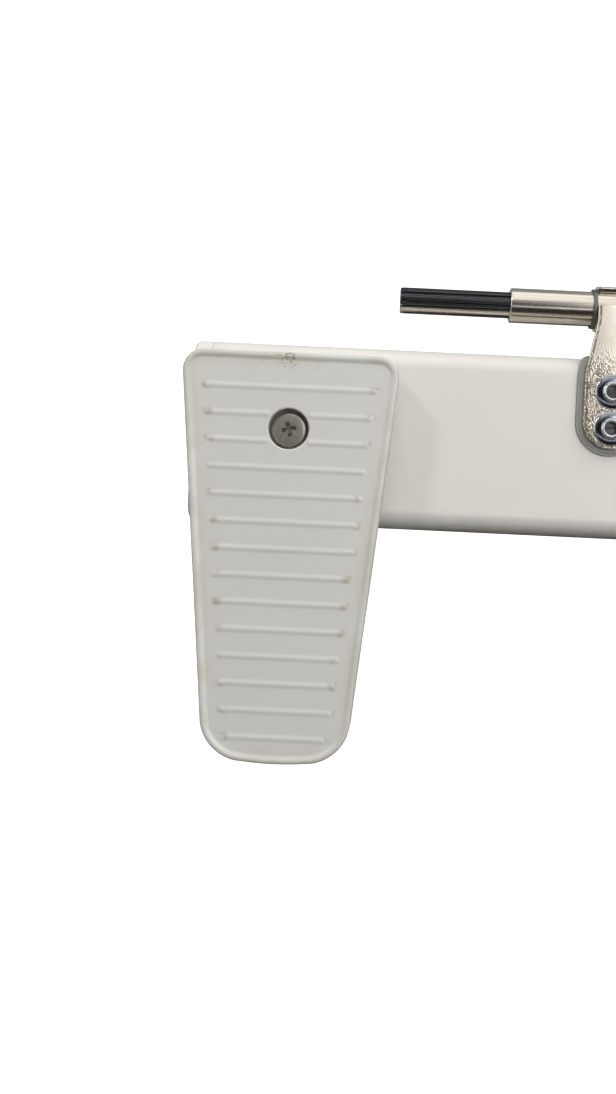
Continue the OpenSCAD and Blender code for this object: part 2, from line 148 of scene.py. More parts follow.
def outline(name, corners, y):
    # a flat face facing the front; each corner is (x, z, radius, segments)
    piece = trace(name, [(x, y, z) for x, z, radius, segments in corners])
    takeAll()
    bpy.ops.mesh.edge_face_add()
    for i, (x, z, radius, segments) in enumerate(corners):
        if radius:
            reach = reachOf(corners[i - 1][:2], (x, z), corners[(i + 1) % len(corners)][:2], radius)
            choose(piece, "VERT", lambda v: math.dist((v.co.x, v.co.z), (x, z)) < 0.01 * mm)
            bpy.ops.mesh.bevel(offset=reach, segments=segments, affect="VERTICES", profile=0.5)
    editAll(piece, "FACE")
    if bmesh.from_edit_mesh(piece.data).faces[:][0].normal.y > 0:
        bpy.ops.mesh.flip_normals()
    leave()
    return piece


def thicken(piece, depth):
    # turns a flat face at the front into a block that reaches back by depth
    editAll(piece)
    bpy.ops.mesh.extrude_region_move(TRANSFORM_OT_translate={"value": (0, depth, 0)})
    takeAll()
    bpy.ops.mesh.normals_make_consistent(inside=False)
    leave()
    return piece


def turned(name, profile, centre, along="X", steps=64):
    # spins a closed profile of (place along, radius) round a line through centre
    if along == "X":
        points = [(a, centre[1], centre[2] + r) for a, r in profile]
        axis = (1, 0, 0)
    else:
        points = [(centre[0], a, centre[2] + r) for a, r in profile]
        axis = (0, 1, 0)
    piece = trace(name, points)
    takeAll()
    bpy.ops.mesh.spin(steps=steps, angle=2 * math.pi, center=centre, axis=axis)
    takeAll()
    bpy.ops.mesh.remove_doubles(threshold=0.002 * mm)
    takeAll()
    bpy.ops.mesh.delete_loose(use_verts=True, use_edges=True, use_faces=False)
    takeAll()
    bpy.ops.mesh.normals_make_consistent(inside=False)
    leave()
    return piece


def rod(name, start, end, radius, sides=48):
    # a straight cylinder between two points on a line along X, Y or Z
    length = math.dist(start, end)
    at = [(a + b) / 2 for a, b in zip(start, end)]
    way = max(range(3), key=lambda i: abs(end[i] - start[i]))
    turn = [(0, math.pi / 2, 0), (math.pi / 2, 0, 0), (0, 0, 0)][way]
    bpy.ops.object.select_all(action="DESELECT")
    bpy.ops.mesh.primitive_cylinder_add(vertices=sides, radius=radius, depth=length, location=at, rotation=turn)
    piece = bpy.context.object
    piece.name = name
    settle(piece)
    return piece


def settle(piece):
    pick(piece)
    bpy.ops.object.transform_apply(location=True, rotation=True, scale=True)


def together(pieces):
    pick(pieces[0])
    for piece in pieces[1:]:
        piece.select_set(True)
    if len(pieces) > 1:
        bpy.ops.object.join()
    return pieces[0]


def copyOf(piece):
    twin = piece.copy()
    twin.data = piece.data.copy()
    bpy.context.collection.objects.link(twin)
    return twin


def turnRound(piece, degrees, axis, centre):
    editAll(piece)
    bpy.ops.transform.rotate(value=math.radians(degrees), orient_axis=axis, center_override=centre)
    leave()


def roundOff(piece, test, width, segments):
    # rounds the edges that pass the test
    choose(piece, "EDGE", test)
    bpy.ops.mesh.bevel(offset=width, segments=segments, affect="EDGES")
    leave()


def combine(piece, tool, how="DIFFERENCE"):
    pick(piece)
    step = piece.modifiers.new("combine", "BOOLEAN")
    step.operation = how
    step.object = tool
    step.solver = "EXACT"
    bpy.ops.object.modifier_apply(modifier=step.name)
    bpy.data.objects.remove(tool)
    return piece


def drill(piece, at, start, end, radius, sides=48, how="DIFFERENCE"):
    # a round hole, or a boss, at (x, z) from one Y to another
    combine(piece, rod("drill", (at[0], start, at[1]), (at[0], end, at[1]), radius, sides), how)


def ease(piece, width, segments, angle):
    # rounds every edge sharper than the angle
    pick(piece)
    step = piece.modifiers.new("ease", "BEVEL")
    step.width = width
    step.segments = segments
    step.limit_method = "ANGLE"
    step.angle_limit = math.radians(angle)
    step.use_clamp_overlap = True
    bpy.ops.object.modifier_apply(modifier=step.name)
    return piece


def tidyUp(piece):
    editAll(piece)
    bpy.ops.mesh.remove_doubles(threshold=0.002 * mm)
    takeAll()
    bpy.ops.mesh.normals_make_consistent(inside=False)
    leave()
    return piece


def finishPiece(piece, name, body, replaced, slotName, smooth):
    # smooth is the largest angle, in degrees, that is shaded as one surface
    settle(piece)
    piece.name = name
    piece.data.name = name
    bpy.ops.object.shade_smooth_by_angle(angle=math.radians(smooth))
    step = piece.modifiers.new("evenNormals", "WEIGHTED_NORMAL")
    step.keep_sharp = True
    bpy.ops.object.modifier_apply(modifier=step.name)
    piece.data.materials.clear()
    piece.data.materials.append(materials[slotMaterials[slotName]])
    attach(piece, body)
    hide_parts(*replaced)
    print("made", name, len(piece.data.polygons), "faces")


# camera, floor and light

cameraSet = {
    "distance": 233 * mm,      # from the sleeve's axis
    "across": -42.2 * mm,
    "up": -51.3 * mm,
    "roll": 2.7,              # degrees
    "lens": 32.8,
    "shift": (-0.0841, -0.0247),
}


def setCamera(settings):
    bpy.ops.object.camera_add(
        location=(settings["across"], -settings["distance"], settings["up"]),
        rotation=(math.pi / 2, -math.radians(settings["roll"]), 0))
    camera = bpy.context.object
    camera.name = "camera"
    camera.data.lens = settings["lens"]
    camera.data.sensor_width = 36
    camera.data.shift_x, camera.data.shift_y = settings["shift"]
    camera.data.clip_start = 0.01
    bpy.context.scene.camera = camera


stageSet = {
    "floorDrop": 0.10,         # below the object's lowest point
    "radius": 1.7,
    "height": 2.2,
    "bend": 0.6,
    "colour": (0.62, 0.62, 0.615, 1),
    "glow": 1.0,              # seen by the camera only
}


def setStage(settings):
    # a pale floor that turns up into a round wall
    lowest = cadBox[0][2] - settings["floorDrop"]
    bpy.ops.object.select_all(action="DESELECT")
    bpy.ops.mesh.primitive_cylinder_add(vertices=96, radius=settings["radius"], depth=settings["height"],
                                        location=(0, 0, lowest + settings["height"] / 2))
    bowl = bpy.context.object
    bowl.name = "bowl"
    settle(bowl)
    choose(bowl, "FACE", lambda f: f.normal.z > 0.9)
    bpy.ops.mesh.delete(type="ONLY_FACE")
    choose(bowl, "EDGE", lambda e: all(abs(v.co.z - lowest) < 0.001 for v in e.verts))
    bpy.ops.mesh.bevel(offset=settings["bend"], segments=20)
    takeAll()
    bpy.ops.mesh.flip_normals()
    leave()
    bpy.ops.object.shade_smooth()
    paint = bpy.data.materials.new("bowlPaper")
    paint.use_nodes = True
    tree = paint.node_tree
    skin = tree.nodes["Principled BSDF"]
    skin.inputs["Base Color"].default_value = settings["colour"]
    skin.inputs["Roughness"].default_value = 0.9
    skin.inputs["Specular IOR Level"].default_value = 0.1
    skin.inputs["Emission Color"].default_value = (1, 1, 1, 1)
    ray = tree.nodes.new("ShaderNodeLightPath")
    dim = tree.nodes.new("ShaderNodeMath")
    dim.operation = "MULTIPLY"
    dim.inputs[1].default_value = settings["glow"]
    tree.links.new(ray.outputs["Is Camera Ray"], dim.inputs[0])
    tree.links.new(dim.outputs[0], skin.inputs["Emission Strength"])
    bowl.data.materials.append(paint)


flagSet = [
    # name, place, size, turn in degrees, darkens diffuse: dark cards that the camera never sees
    ("flagFront", (-0.1, -1.15, -0.14), (1.5, 1.2), (90, 0, 0), False),
    ("flagBelow", (-0.03, 0.05, -0.16), (0.45, 0.3), (0, 0, 0), True),
]


def setFlags(cards):
    black = bpy.data.materials.new("flagCloth")
    black.use_nodes = True
    skin = black.node_tree.nodes["Principled BSDF"]
    skin.inputs["Base Color"].default_value = (0.02, 0.02, 0.02, 1)
    skin.inputs["Roughness"].default_value = 1.0
    skin.inputs["Specular IOR Level"].default_value = 0.0
    for name, place, size, turn, diffuse in cards:
        bpy.ops.object.select_all(action="DESELECT")
        bpy.ops.mesh.primitive_plane_add(size=1, location=place, scale=(size[0], size[1], 1),
                                         rotation=[math.radians(a) for a in turn])
        card = bpy.context.object
        card.name = name
        settle(card)
        card.scale = (1, 1, 1)
        card.visible_camera = False
        card.visible_shadow = False
        card.visible_diffuse = diffuse
        card.data.materials.append(black)


lightSet = [
    # name, place, aim, size across and down, watts, colour, what sees it
    ("overBox", (0.32, -0.55, 0.93), (-0.04, 0, -0.05), (1.3, 0.9), 10.2, (1, 0.99, 0.97), "diffuse"),
    ("overGlow", (0.15, -0.55, 0.95), (-0.04, 0, -0.05), (1.3, 1.3), 3.9, (1, 0.98, 0.95), "glossy"),
    ("fillBox", (0.55, -1.0, -0.1), (-0.04, 0, -0.05), (1.3, 1.0), 9.6, (1, 0.99, 0.975), "diffuse"),
    ("keyBox", (-0.66, -0.72, 0.62), (-0.05, 0, -0.05), (0.12, 0.12), 2.0, (1, 0.985, 0.96), "both"),
    ("leftGlow", (-0.9, -0.45, 0.25), (0, 0, -0.03), (0.5, 0.8), 2.0, (1, 0.98, 0.95), "glossy"),
    ("frontRight", (0.42, -0.95, 0.2), (0, 0, -0.04), (0.4, 0.5), 1.6, (1, 0.98, 0.94), "glossy"),
    ("backFill", (0.1, 1.1, 0.35), (-0.04, 0, -0.05), (1.3, 1.0), 4.5, (1, 1, 1), "diffuse"),
    ("lowStrip", (-0.04, -0.07, -0.15), (-0.04, 0, 0), (0.4, 0.045), 0.04, (1, 0.94, 0.84), "glossy"),
]


def setLights(boxes):
    for name, place, aim, size, watts, colour, seen in boxes:
        bpy.ops.object.light_add(type="AREA", location=place)
        box = bpy.context.object
        box.name = name
        box.data.shape = "RECTANGLE"
        box.data.size, box.data.size_y = size
        box.data.energy = watts
        box.data.color = colour
        box.visible_glossy = seen != "diffuse"
        box.visible_diffuse = seen != "glossy"
        box.visible_camera = False
        way = box.location.copy()
        way.x, way.y, way.z = (aim[i] - place[i] for i in range(3))
        box.rotation_euler = way.to_track_quat("-Z", "Y").to_euler()
    world = bpy.data.worlds.new("room")
    bpy.context.scene.world = world
    world.use_nodes = True
    sky = world.node_tree.nodes["Background"]
    sky.inputs["Color"].default_value = (0.86, 0.88, 0.9, 1)
    sky.inputs["Strength"].default_value = 0.35


setCamera(cameraSet)
setStage(stageSet)
setFlags(flagSet)
setLights(lightSet)
bpy.context.scene.view_settings.view_transform = "Standard"
print("camera, sweep and lights are up")


# paddle sizes, shared by its pieces and its plastic


def boxOf(node):
    low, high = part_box(node)
    return low, high


paddleSet = {
    "topHalf": 24.2 * mm, "lowHalf": 15.6 * mm, "above": 16.8 * mm, "below": 73.8 * mm,
    "sag": 1.2 * mm, "topRound": 4.6 * mm, "lowRound": 9.5 * mm, "sagRound": 60 * mm,
    "rimHeight": 0.6 * mm, "rimStart": 0.75 * mm, "wall": 1.8 * mm,
    "rimSteps": [(0.07, 0.20), (0.12, 0.15), (0.15, 0.10), (0.16, 0.06), (0.15, 0.02), (0.2, 0.0),
                 (0.15, -0.02), (0.17, -0.06), (0.18, -0.08), (0.18, -0.09), (0.18, -0.07), (0.17, -0.04),
                 (0.17, -0.02)],  # inset and lift, from the outer wall to the face
    "recess": 4.45 * mm, "recessEase": 0.4 * mm, "tube": 6.05 * mm, "tubeEnd": -10.99 * mm,
    "smallHole": 0.9 * mm, "smallDrop": 38.4 * mm, "boss": 2.6 * mm, "pilot": 0.9 * mm,
    "bosses": [(-17 * mm, 7.8 * mm), (17 * mm, 7.8 * mm), (0, -38.4 * mm)],
}
ribSet = {
    "count": 14, "pitch": 5.92 * mm, "first": 7.8 * mm, "margin": 4.1 * mm,
    "lastNarrowing": 0.8 * mm, "clear": 0.45 * mm,
    "bell": [(-0.3, 0), (-0.3, 1.0), (0.0, 1.0), (0.006, 0.88), (0.02, 0.75), (0.044, 0.61), (0.072, 0.48),
             (0.098, 0.36), (0.118, 0.24), (0.13, 0.12), (0.135, 0)],  # lift over the face and half width
}
frontLow, frontHigh = boxOf("paddle_front")
pivotX = (frontLow.x + frontHigh.x) / 2
pivotZ = frontHigh.z - paddleSet["above"]
pivot = (pivotX, pivotZ)
rimY = frontLow.y
faceY = rimY + paddleSet["rimHeight"]
seamY = frontHigh.y


# materials

def addNode(tree, kind, inputs=None, **fields):
    made = tree.nodes.new(kind)
    for name, value in fields.items():
        setattr(made, name, value)
    for name, value in (inputs or {}).items():
        socket = made.inputs[name]
        if isinstance(value, bpy.types.NodeSocket):
            tree.links.new(value, socket)
        else:
            socket.default_value = value
    return made


def objectPlace(tree):
    return addNode(tree, "ShaderNodeTexCoord").outputs["Object"]


def noise(tree, place, scale, detail, roughness=0.5):
    return addNode(tree, "ShaderNodeTexNoise", {"Vector": place, "Scale": scale, "Detail": detail,
                                                "Roughness": roughness}).outputs["Fac"]


def calc(tree, operation, first, second=None, third=None):
    inputs = {i: value for i, value in enumerate((first, second, third)) if value is not None}
    return addNode(tree, "ShaderNodeMath", inputs, operation=operation).outputs[0]


def times(tree, first, second):
    return calc(tree, "MULTIPLY", first, second)


def minus(tree, first, second):
    return calc(tree, "SUBTRACT", first, second)


def lengthOf(tree, across, up):
    return calc(tree, "SQRT", calc(tree, "ADD", times(tree, across, across), times(tree, up, up)))


def newGroup(name, takes, gives):
    tree = bpy.data.node_groups.new(name, "ShaderNodeTree")
    for label, kind, value in takes:
        socket = tree.interface.new_socket(label, in_out="INPUT", socket_type=kind)
        socket.default_value = value
    for label, kind in gives:
        tree.interface.new_socket(label, in_out="OUTPUT", socket_type=kind)
    return tree, tree.nodes.new("NodeGroupInput").outputs, tree.nodes.new("NodeGroupOutput")


def mottleGroup():
    # two colours mixed in soft clouds, with finer clouds on top
    tree, takes, gives = newGroup(
        "mottle",
        [("Light", "NodeSocketColor", (0.8, 0.8, 0.8, 1)), ("Dark", "NodeSocketColor", (0.6, 0.6, 0.6, 1)),
         ("Scale", "NodeSocketFloat", 40.0), ("Amount", "NodeSocketFloat", 0.5)],
        [("Colour", "NodeSocketColor"), ("Mask", "NodeSocketFloat")])
    place = objectPlace(tree)
    clouds = noise(tree, place, takes["Scale"], 5.0, 0.6)
    spread = addNode(tree, "ShaderNodeMapRange", {"Value": clouds, "From Min": 0.35, "From Max": 0.68})
    part = addNode(tree, "ShaderNodeMath", {0: spread.outputs[0], 1: takes["Amount"]}, operation="MULTIPLY")
    mix = addNode(tree, "ShaderNodeMix", {"Factor": part.outputs[0], "A": takes["Light"], "B": takes["Dark"]},
                  data_type="RGBA")
    tree.links.new(mix.outputs[2], gives.inputs["Colour"])
    tree.links.new(part.outputs[0], gives.inputs["Mask"])
    return tree


def grainGroup():
    # fine grain as a height, from two sizes of noise
    tree, takes, gives = newGroup(
        "grain", [("Scale", "NodeSocketFloat", 1500.0), ("Coarse", "NodeSocketFloat", 0.3)],
        [("Height", "NodeSocketFloat")])
    place = objectPlace(tree)
    fine = noise(tree, place, takes["Scale"], 2.0)
    wide = addNode(tree, "ShaderNodeMath", {0: takes["Scale"], 1: 0.22}, operation="MULTIPLY")
    broad = noise(tree, place, wide.outputs[0], 1.0)
    mix = addNode(tree, "ShaderNodeMix", {"Factor": takes["Coarse"], "A": fine, "B": broad})
    tree.links.new(mix.outputs[0], gives.inputs["Height"])
    return tree


def specksGroup():
    # sparse small marks: 1 on a mark, 0 elsewhere
    tree, takes, gives = newGroup(
        "specks", [("Scale", "NodeSocketFloat", 300.0), ("Size", "NodeSocketFloat", 0.12),
                   ("Share", "NodeSocketFloat", 0.1)],
        [("Mask", "NodeSocketFloat")])
    place = objectPlace(tree)
    cells = addNode(tree, "ShaderNodeTexVoronoi", {"Vector": place, "Scale": takes["Scale"]})
    near = addNode(tree, "ShaderNodeMath", {0: cells.outputs["Distance"], 1: takes["Size"]}, operation="LESS_THAN")
    tone = addNode(tree, "ShaderNodeSeparateColor", {"Color": cells.outputs["Color"]})
    few = addNode(tree, "ShaderNodeMath", {0: tone.outputs[0], 1: takes["Share"]}, operation="LESS_THAN")
    both = addNode(tree, "ShaderNodeMath", {0: near.outputs[0], 1: few.outputs[0]}, operation="MULTIPLY")
    tree.links.new(both.outputs[0], gives.inputs["Mask"])
    return tree


def drawnLinesGroup():
    # lines drawn out along X, as on turned and drawn bar
    tree, takes, gives = newGroup(
        "drawnLines", [("Across", "NodeSocketFloat", 900.0), ("Along", "NodeSocketFloat", 12.0)],
        [("Height", "NodeSocketFloat")])
    place = objectPlace(tree)
    size = addNode(tree, "ShaderNodeCombineXYZ", {"X": takes["Along"], "Y": takes["Across"], "Z": takes["Across"]})
    stretched = addNode(tree, "ShaderNodeVectorMath", {0: place, 1: size.outputs[0]}, operation="MULTIPLY")
    lines = noise(tree, stretched.outputs[0], 1.0, 3.0, 0.7)
    tree.links.new(lines, gives.inputs["Height"])
    return tree


groups = {"mottle": mottleGroup(), "grain": grainGroup(), "specks": specksGroup(), "drawnLines": drawnLinesGroup()}


def placeGroup(tree, name, inputs):
    made = tree.nodes.new("ShaderNodeGroup")
    made.node_tree = groups[name]
    for label, value in inputs.items():
        if isinstance(value, bpy.types.NodeSocket):
            tree.links.new(value, made.inputs[label])
        else:
            made.inputs[label].default_value = value
    return made


def newMaterial(name, roughness, metallic=0.0, **plain):
    material = bpy.data.materials.new(name)
    material.use_nodes = True
    skin = material.node_tree.nodes["Principled BSDF"]
    skin.inputs["Roughness"].default_value = roughness
    skin.inputs["Metallic"].default_value = metallic
    for label, value in plain.items():
        skin.inputs[label.replace("_", " ")].default_value = value
    return material, material.node_tree, skin


def addBump(tree, skin, height, strength, distance):
    bump = addNode(tree, "ShaderNodeBump", {"Height": height, "Strength": strength, "Distance": distance})
    tree.links.new(bump.outputs["Normal"], skin.inputs["Normal"])
    return bump


def plasticMaterial(name, light, dark, roughness, grainScale=1800.0, bump=0.05):
    material, tree, skin = newMaterial(name, roughness)
    tone = placeGroup(tree, "mottle", {"Light": light, "Dark": dark, "Scale": 30.0, "Amount": 0.6})
    grain = placeGroup(tree, "grain", {"Scale": grainScale, "Coarse": 0.35})
    tree.links.new(tone.outputs["Colour"], skin.inputs["Base Color"])
    addBump(tree, skin, grain.outputs["Height"], bump, 0.1 * mm)
    return material


def metalMaterial(name, light, dark, roughness, scale=60.0, grainScale=2500.0, bump=0.05, amount=0.6):
    material, tree, skin = newMaterial(name, roughness, 1.0)
    tone = placeGroup(tree, "mottle", {"Light": light, "Dark": dark, "Scale": scale, "Amount": amount})
    grain = placeGroup(tree, "grain", {"Scale": grainScale, "Coarse": 0.4})
    rough = addNode(tree, "ShaderNodeMapRange", {"Value": tone.outputs["Mask"], "To Min": roughness,
                                                 "To Max": roughness * 1.5})
    tree.links.new(tone.outputs["Colour"], skin.inputs["Base Color"])
    tree.links.new(rough.outputs[0], skin.inputs["Roughness"])
    addBump(tree, skin, grain.outputs["Height"], bump, 0.1 * mm)
    return material


def ramp(tree, value, low, high, least=0.0, most=1.0):
    return addNode(tree, "ShaderNodeMapRange", {"Value": value, "From Min": low, "From Max": high, "To Min": least,
                                                "To Max": most},
                   interpolation_type="SMOOTHSTEP").outputs[0]


def blend(tree, share, first, second):
    return addNode(tree, "ShaderNodeMix", {"Factor": share, "A": first, "B": second}, data_type="RGBA").outputs[2]


stainSet = {
    "edge": (0.52, 0.49, 0.36, 1), "ribEnd": (0.36, 0.34, 0.25, 1), "scuff": (0.13, 0.125, 0.11, 1),
    "edgeReach": (1.1 * mm, 4.5 * mm), "edgeAmount": 0.42, "ribEndAmount": 0.6,
    "scuffAt": (-0.8 * mm, 15.5 * mm), "scuffSize": (3.2 * mm, 2.8 * mm),
}


def paddleMaterial(shape, ribs, pivot, stains=stainSet):
    # moulded plastic that has yellowed along its rim, with dirt at the ribs' ends and a scuffed top edge
    material, tree, skin = newMaterial("paddlePlastic", 0.4)
    place = objectPlace(tree)
    at = addNode(tree, "ShaderNodeSeparateXYZ", {"Vector": place})
    x = minus(tree, at.outputs["X"], pivot[0])
    z = minus(tree, at.outputs["Z"], pivot[1])
    taper = (shape["topHalf"] - shape["lowHalf"]) / (shape["above"] + shape["below"])
    half = calc(tree, "MULTIPLY_ADD", calc(tree, "ADD", z, shape["below"]), taper, shape["lowHalf"])
    side = minus(tree, half, calc(tree, "ABSOLUTE", x))
    ends = calc(tree, "MINIMUM", minus(tree, shape["above"], z), calc(tree, "ADD", z, shape["below"]))
    inwards = calc(tree, "MINIMUM", side, ends)
    front = ramp(tree, at.outputs["Y"], faceY + 2.5 * mm, faceY + mm)
    tone = placeGroup(tree, "mottle", {"Light": (0.655, 0.655, 0.635, 1), "Dark": (0.625, 0.615, 0.575, 1),
                                       "Scale": 26.0, "Amount": 0.6})
    clouds = noise(tree, place, 110.0, 4.0)
    rim = times(tree, ramp(tree, inwards, stains["edgeReach"][1], stains["edgeReach"][0]),
                ramp(tree, clouds, 0.36, 0.62))
    colour = blend(tree, times(tree, rim, stains["edgeAmount"]), tone.outputs["Colour"], stains["edge"])
    row = calc(tree, "DIVIDE", minus(tree, shape["above"] - ribs["first"], z), ribs["pitch"])
    offRow = calc(tree, "ABSOLUTE", minus(tree, row, calc(tree, "ROUND", row)))
    offEnd = calc(tree, "ABSOLUTE", minus(tree, side, ribs["margin"] + 0.9 * mm))
    dirt = times(tree, ramp(tree, offRow, 0.21, 0.08), ramp(tree, offEnd, 1.7 * mm, 0.3 * mm))
    specks = noise(tree, place, 420.0, 3.0)
    dirt = times(tree, dirt, ramp(tree, specks, 0.4, 0.62))
    dirt = times(tree, times(tree, dirt, front), ramp(tree, row, -0.5, -0.3))
    colour = blend(tree, times(tree, dirt, stains["ribEndAmount"]), colour, stains["ribEnd"])
    awayX = calc(tree, "DIVIDE", minus(tree, x, stains["scuffAt"][0]), stains["scuffSize"][0])
    awayZ = calc(tree, "DIVIDE", minus(tree, z, stains["scuffAt"][1]), stains["scuffSize"][1])
    away = lengthOf(tree, awayX, awayZ)
    marks = noise(tree, place, 1500.0, 5.0)
    scuff = times(tree, times(tree, ramp(tree, away, 1.0, 0.45), ramp(tree, marks, 0.53, 0.6)), front)
    colour = blend(tree, times(tree, scuff, 0.6), colour, stains["scuff"])
    dots = placeGroup(tree, "specks", {"Scale": 230.0, "Size": 0.05, "Share": 0.05})
    colour = blend(tree, times(tree, dots.outputs["Mask"], 0.6), colour, stains["scuff"])
    tree.links.new(colour, skin.inputs["Base Color"])
    wear = calc(tree, "MAXIMUM", rim, calc(tree, "MAXIMUM", dirt, scuff))
    tree.links.new(ramp(tree, wear, 0.0, 1.0, 0.36, 0.62), skin.inputs["Roughness"])
    grain = placeGroup(tree, "grain", {"Scale": 1700.0, "Coarse": 0.4})
    addBump(tree, skin, grain.outputs["Height"], 0.06, 0.1 * mm)
    return material


pitSet = {
    "smoothAbove": -6 * mm, "pittedBelow": -17 * mm, "cells": 3300.0, "bump": 0.4,
    # the bevel colour is a painted edge highlight; the line reaches place it and a painted dark shade line just inside
    # it, which takes the pits' dark colour
    "pitsAndEdgeShade": (0.11, 0.09, 0.07, 1), "bevel": (0.95, 0.90, 0.76, 1), "line": (0.25 * mm, 0.42 * mm, 0.62 * mm, 0.85 * mm),
}


def pittedMaterial(name, leaf, centreX, settings=pitSet):
    # plated sheet: bright and nearly smooth on the barrel, pitted further down; a painted highlight along its edge,
    # with a painted shade line just inside it
    material, tree, skin = newMaterial(name, 0.24, 1.0)
    place = objectPlace(tree)
    at = addNode(tree, "ShaderNodeSeparateXYZ", {"Vector": place})
    x, z = minus(tree, at.outputs["X"], centreX), at.outputs["Z"]
    depth = ramp(tree, z, settings["smoothAbove"], settings["pittedBelow"], 0.05, 1.0)
    taper = addNode(tree, "ShaderNodeMapRange", {"Value": z, "From Min": leaf["neckEnd"], "From Max": leaf["wideStart"],
                                                 "To Min": leaf["neck"], "To Max": leaf["wide"]}).outputs[0]
    below = calc(tree, "MINIMUM", calc(tree, "ADD", z, leaf["length"] - leaf["wide"]), 0.0)
    reach = lengthOf(tree, x, below)
    inside = minus(tree, taper, reach)
    bumps = noise(tree, place, 1600.0, 3.0, 0.6)
    cells = addNode(tree, "ShaderNodeTexVoronoi", {"Vector": place, "Scale": settings["cells"]}).outputs["Distance"]
    threshold = times(tree, ramp(tree, bumps, 0.3, 0.7, 0.4, 0.76), depth)
    pits = times(tree, ramp(tree, minus(tree, threshold, cells), -0.08, 0.1), ramp(tree, depth, 0.05, 0.3))
    # painted shade: a dark line just inside the leaf's painted bright edge
    line = times(tree, ramp(tree, inside, settings["line"][0], settings["line"][1]),
                ramp(tree, inside, settings["line"][3], settings["line"][2]))
    line = times(tree, line, ramp(tree, bumps, 0.34, 0.5))
    dark = calc(tree, "MAXIMUM", times(tree, pits, 0.8), times(tree, line, 0.9))
    tone = placeGroup(tree, "mottle", {"Light": (0.92, 0.88, 0.80, 1), "Dark": (0.84, 0.77, 0.66, 1), "Scale": 180.0,
                                       "Amount": 0.7})
    # painted highlight: the leaf's outer edge is painted bright
    colour = blend(tree, ramp(tree, inside, settings["line"][1], settings["line"][0]), tone.outputs["Colour"],
                   settings["bevel"])
    tree.links.new(blend(tree, dark, colour, settings["pitsAndEdgeShade"]), skin.inputs["Base Color"])
    tree.links.new(ramp(tree, dark, 0.0, 1.0, 0.2, 0.5), skin.inputs["Roughness"])
    relief = times(tree, minus(tree, times(tree, cells, 0.6), bumps), depth)
    addBump(tree, skin, relief, settings["bump"], 0.06 * mm)
    return material


def drawnMetalMaterial(name, light, dark, roughness, bump=0.3, across=1400.0, paintedHighlight=None):
    # last argument: colour, highest and lowest Z of a band along the rod's lower front, painted bright as a painted
    # reflection
    material, tree, skin = newMaterial(name, roughness, 1.0)
    lines = placeGroup(tree, "drawnLines", {"Across": across, "Along": 14.0}).outputs["Height"]
    broad = placeGroup(tree, "drawnLines", {"Across": across * 0.3, "Along": 9.0}).outputs["Height"]
    streak = times(tree, ramp(tree, lines, 0.4, 0.62), ramp(tree, broad, 0.3, 0.6))
    colour = blend(tree, streak, light, dark)
    if paintedHighlight:
        # painted reflection: a bright band painted along the rod's lower front side, on the front half only
        place = objectPlace(tree)
        at = addNode(tree, "ShaderNodeSeparateXYZ", {"Vector": place})
        z = calc(tree, "MULTIPLY_ADD", minus(tree, lines, 0.5), 0.5 * mm, at.outputs["Z"])
        paintedHighlightBand = times(tree, ramp(tree, z, paintedHighlight[1], paintedHighlight[1] - 0.15 * mm), ramp(tree, z, paintedHighlight[2], paintedHighlight[2] + 0.15 * mm))
        paintedHighlightBand = times(tree, paintedHighlightBand, ramp(tree, at.outputs["Y"], 0.2 * mm, -0.2 * mm))
        colour = blend(tree, paintedHighlightBand, colour, paintedHighlight[0])
    tree.links.new(colour, skin.inputs["Base Color"])
    tree.links.new(ramp(tree, streak, 0.0, 1.0, roughness, roughness * 1.7), skin.inputs["Roughness"])
    addBump(tree, skin, lines, bump, 0.07 * mm)
    return material


def rivetMaterial(name, centreX, centreZ, halfPitch):
    # dished flanges painted dark as a painted reflection, with a bright raised ring and brighter outer edges
    material, tree, skin = newMaterial(name, 0.16, 1.0)
    place = objectPlace(tree)
    at = addNode(tree, "ShaderNodeSeparateXYZ", {"Vector": place})
    x = minus(tree, at.outputs["X"], centreX)
    z = minus(tree, calc(tree, "ABSOLUTE", minus(tree, at.outputs["Z"], centreZ)), halfPitch)
    away = lengthOf(tree, x, z)
    # painted reflection: the dish between the raised ring and the outer edge is painted dark
    paintedDarkDish = times(tree, ramp(tree, away, 2.2 * mm, 2.4 * mm), ramp(tree, away, 4.0 * mm, 3.6 * mm))
    tone = placeGroup(tree, "mottle", {"Light": (0.78, 0.80, 0.84, 1), "Dark": (0.66, 0.68, 0.72, 1), "Scale": 200.0,
                                       "Amount": 0.6})
    tree.links.new(blend(tree, paintedDarkDish, tone.outputs["Colour"], (0.33, 0.36, 0.42, 1)), skin.inputs["Base Color"])
    grain = placeGroup(tree, "grain", {"Scale": 2500.0, "Coarse": 0.4})
    addBump(tree, skin, grain.outputs["Height"], 0.04, 0.1 * mm)
    return material


rivetLow, rivetHigh = boxOf("bracket_rivets")
leafX = (rivetLow.x + rivetHigh.x) / 2
flangeR = 4 * mm
rivetZs = (rivetHigh.z - flangeR, rivetLow.z + flangeR)
bracketSet = {
    "sheet": 1.2 * mm, "bore": 4.05 * mm, "roll": 302, "rollSteps": 72, "ease": 0.26 * mm,
    "neck": 4.0 * mm, "neckEnd": -3.7 * mm, "wide": 6.35 * mm, "wideStart": -15.8 * mm, "length": 32.9 * mm,
    "neckRound": 8 * mm, "wideRound": 16 * mm, "hole": 2.0 * mm,
}

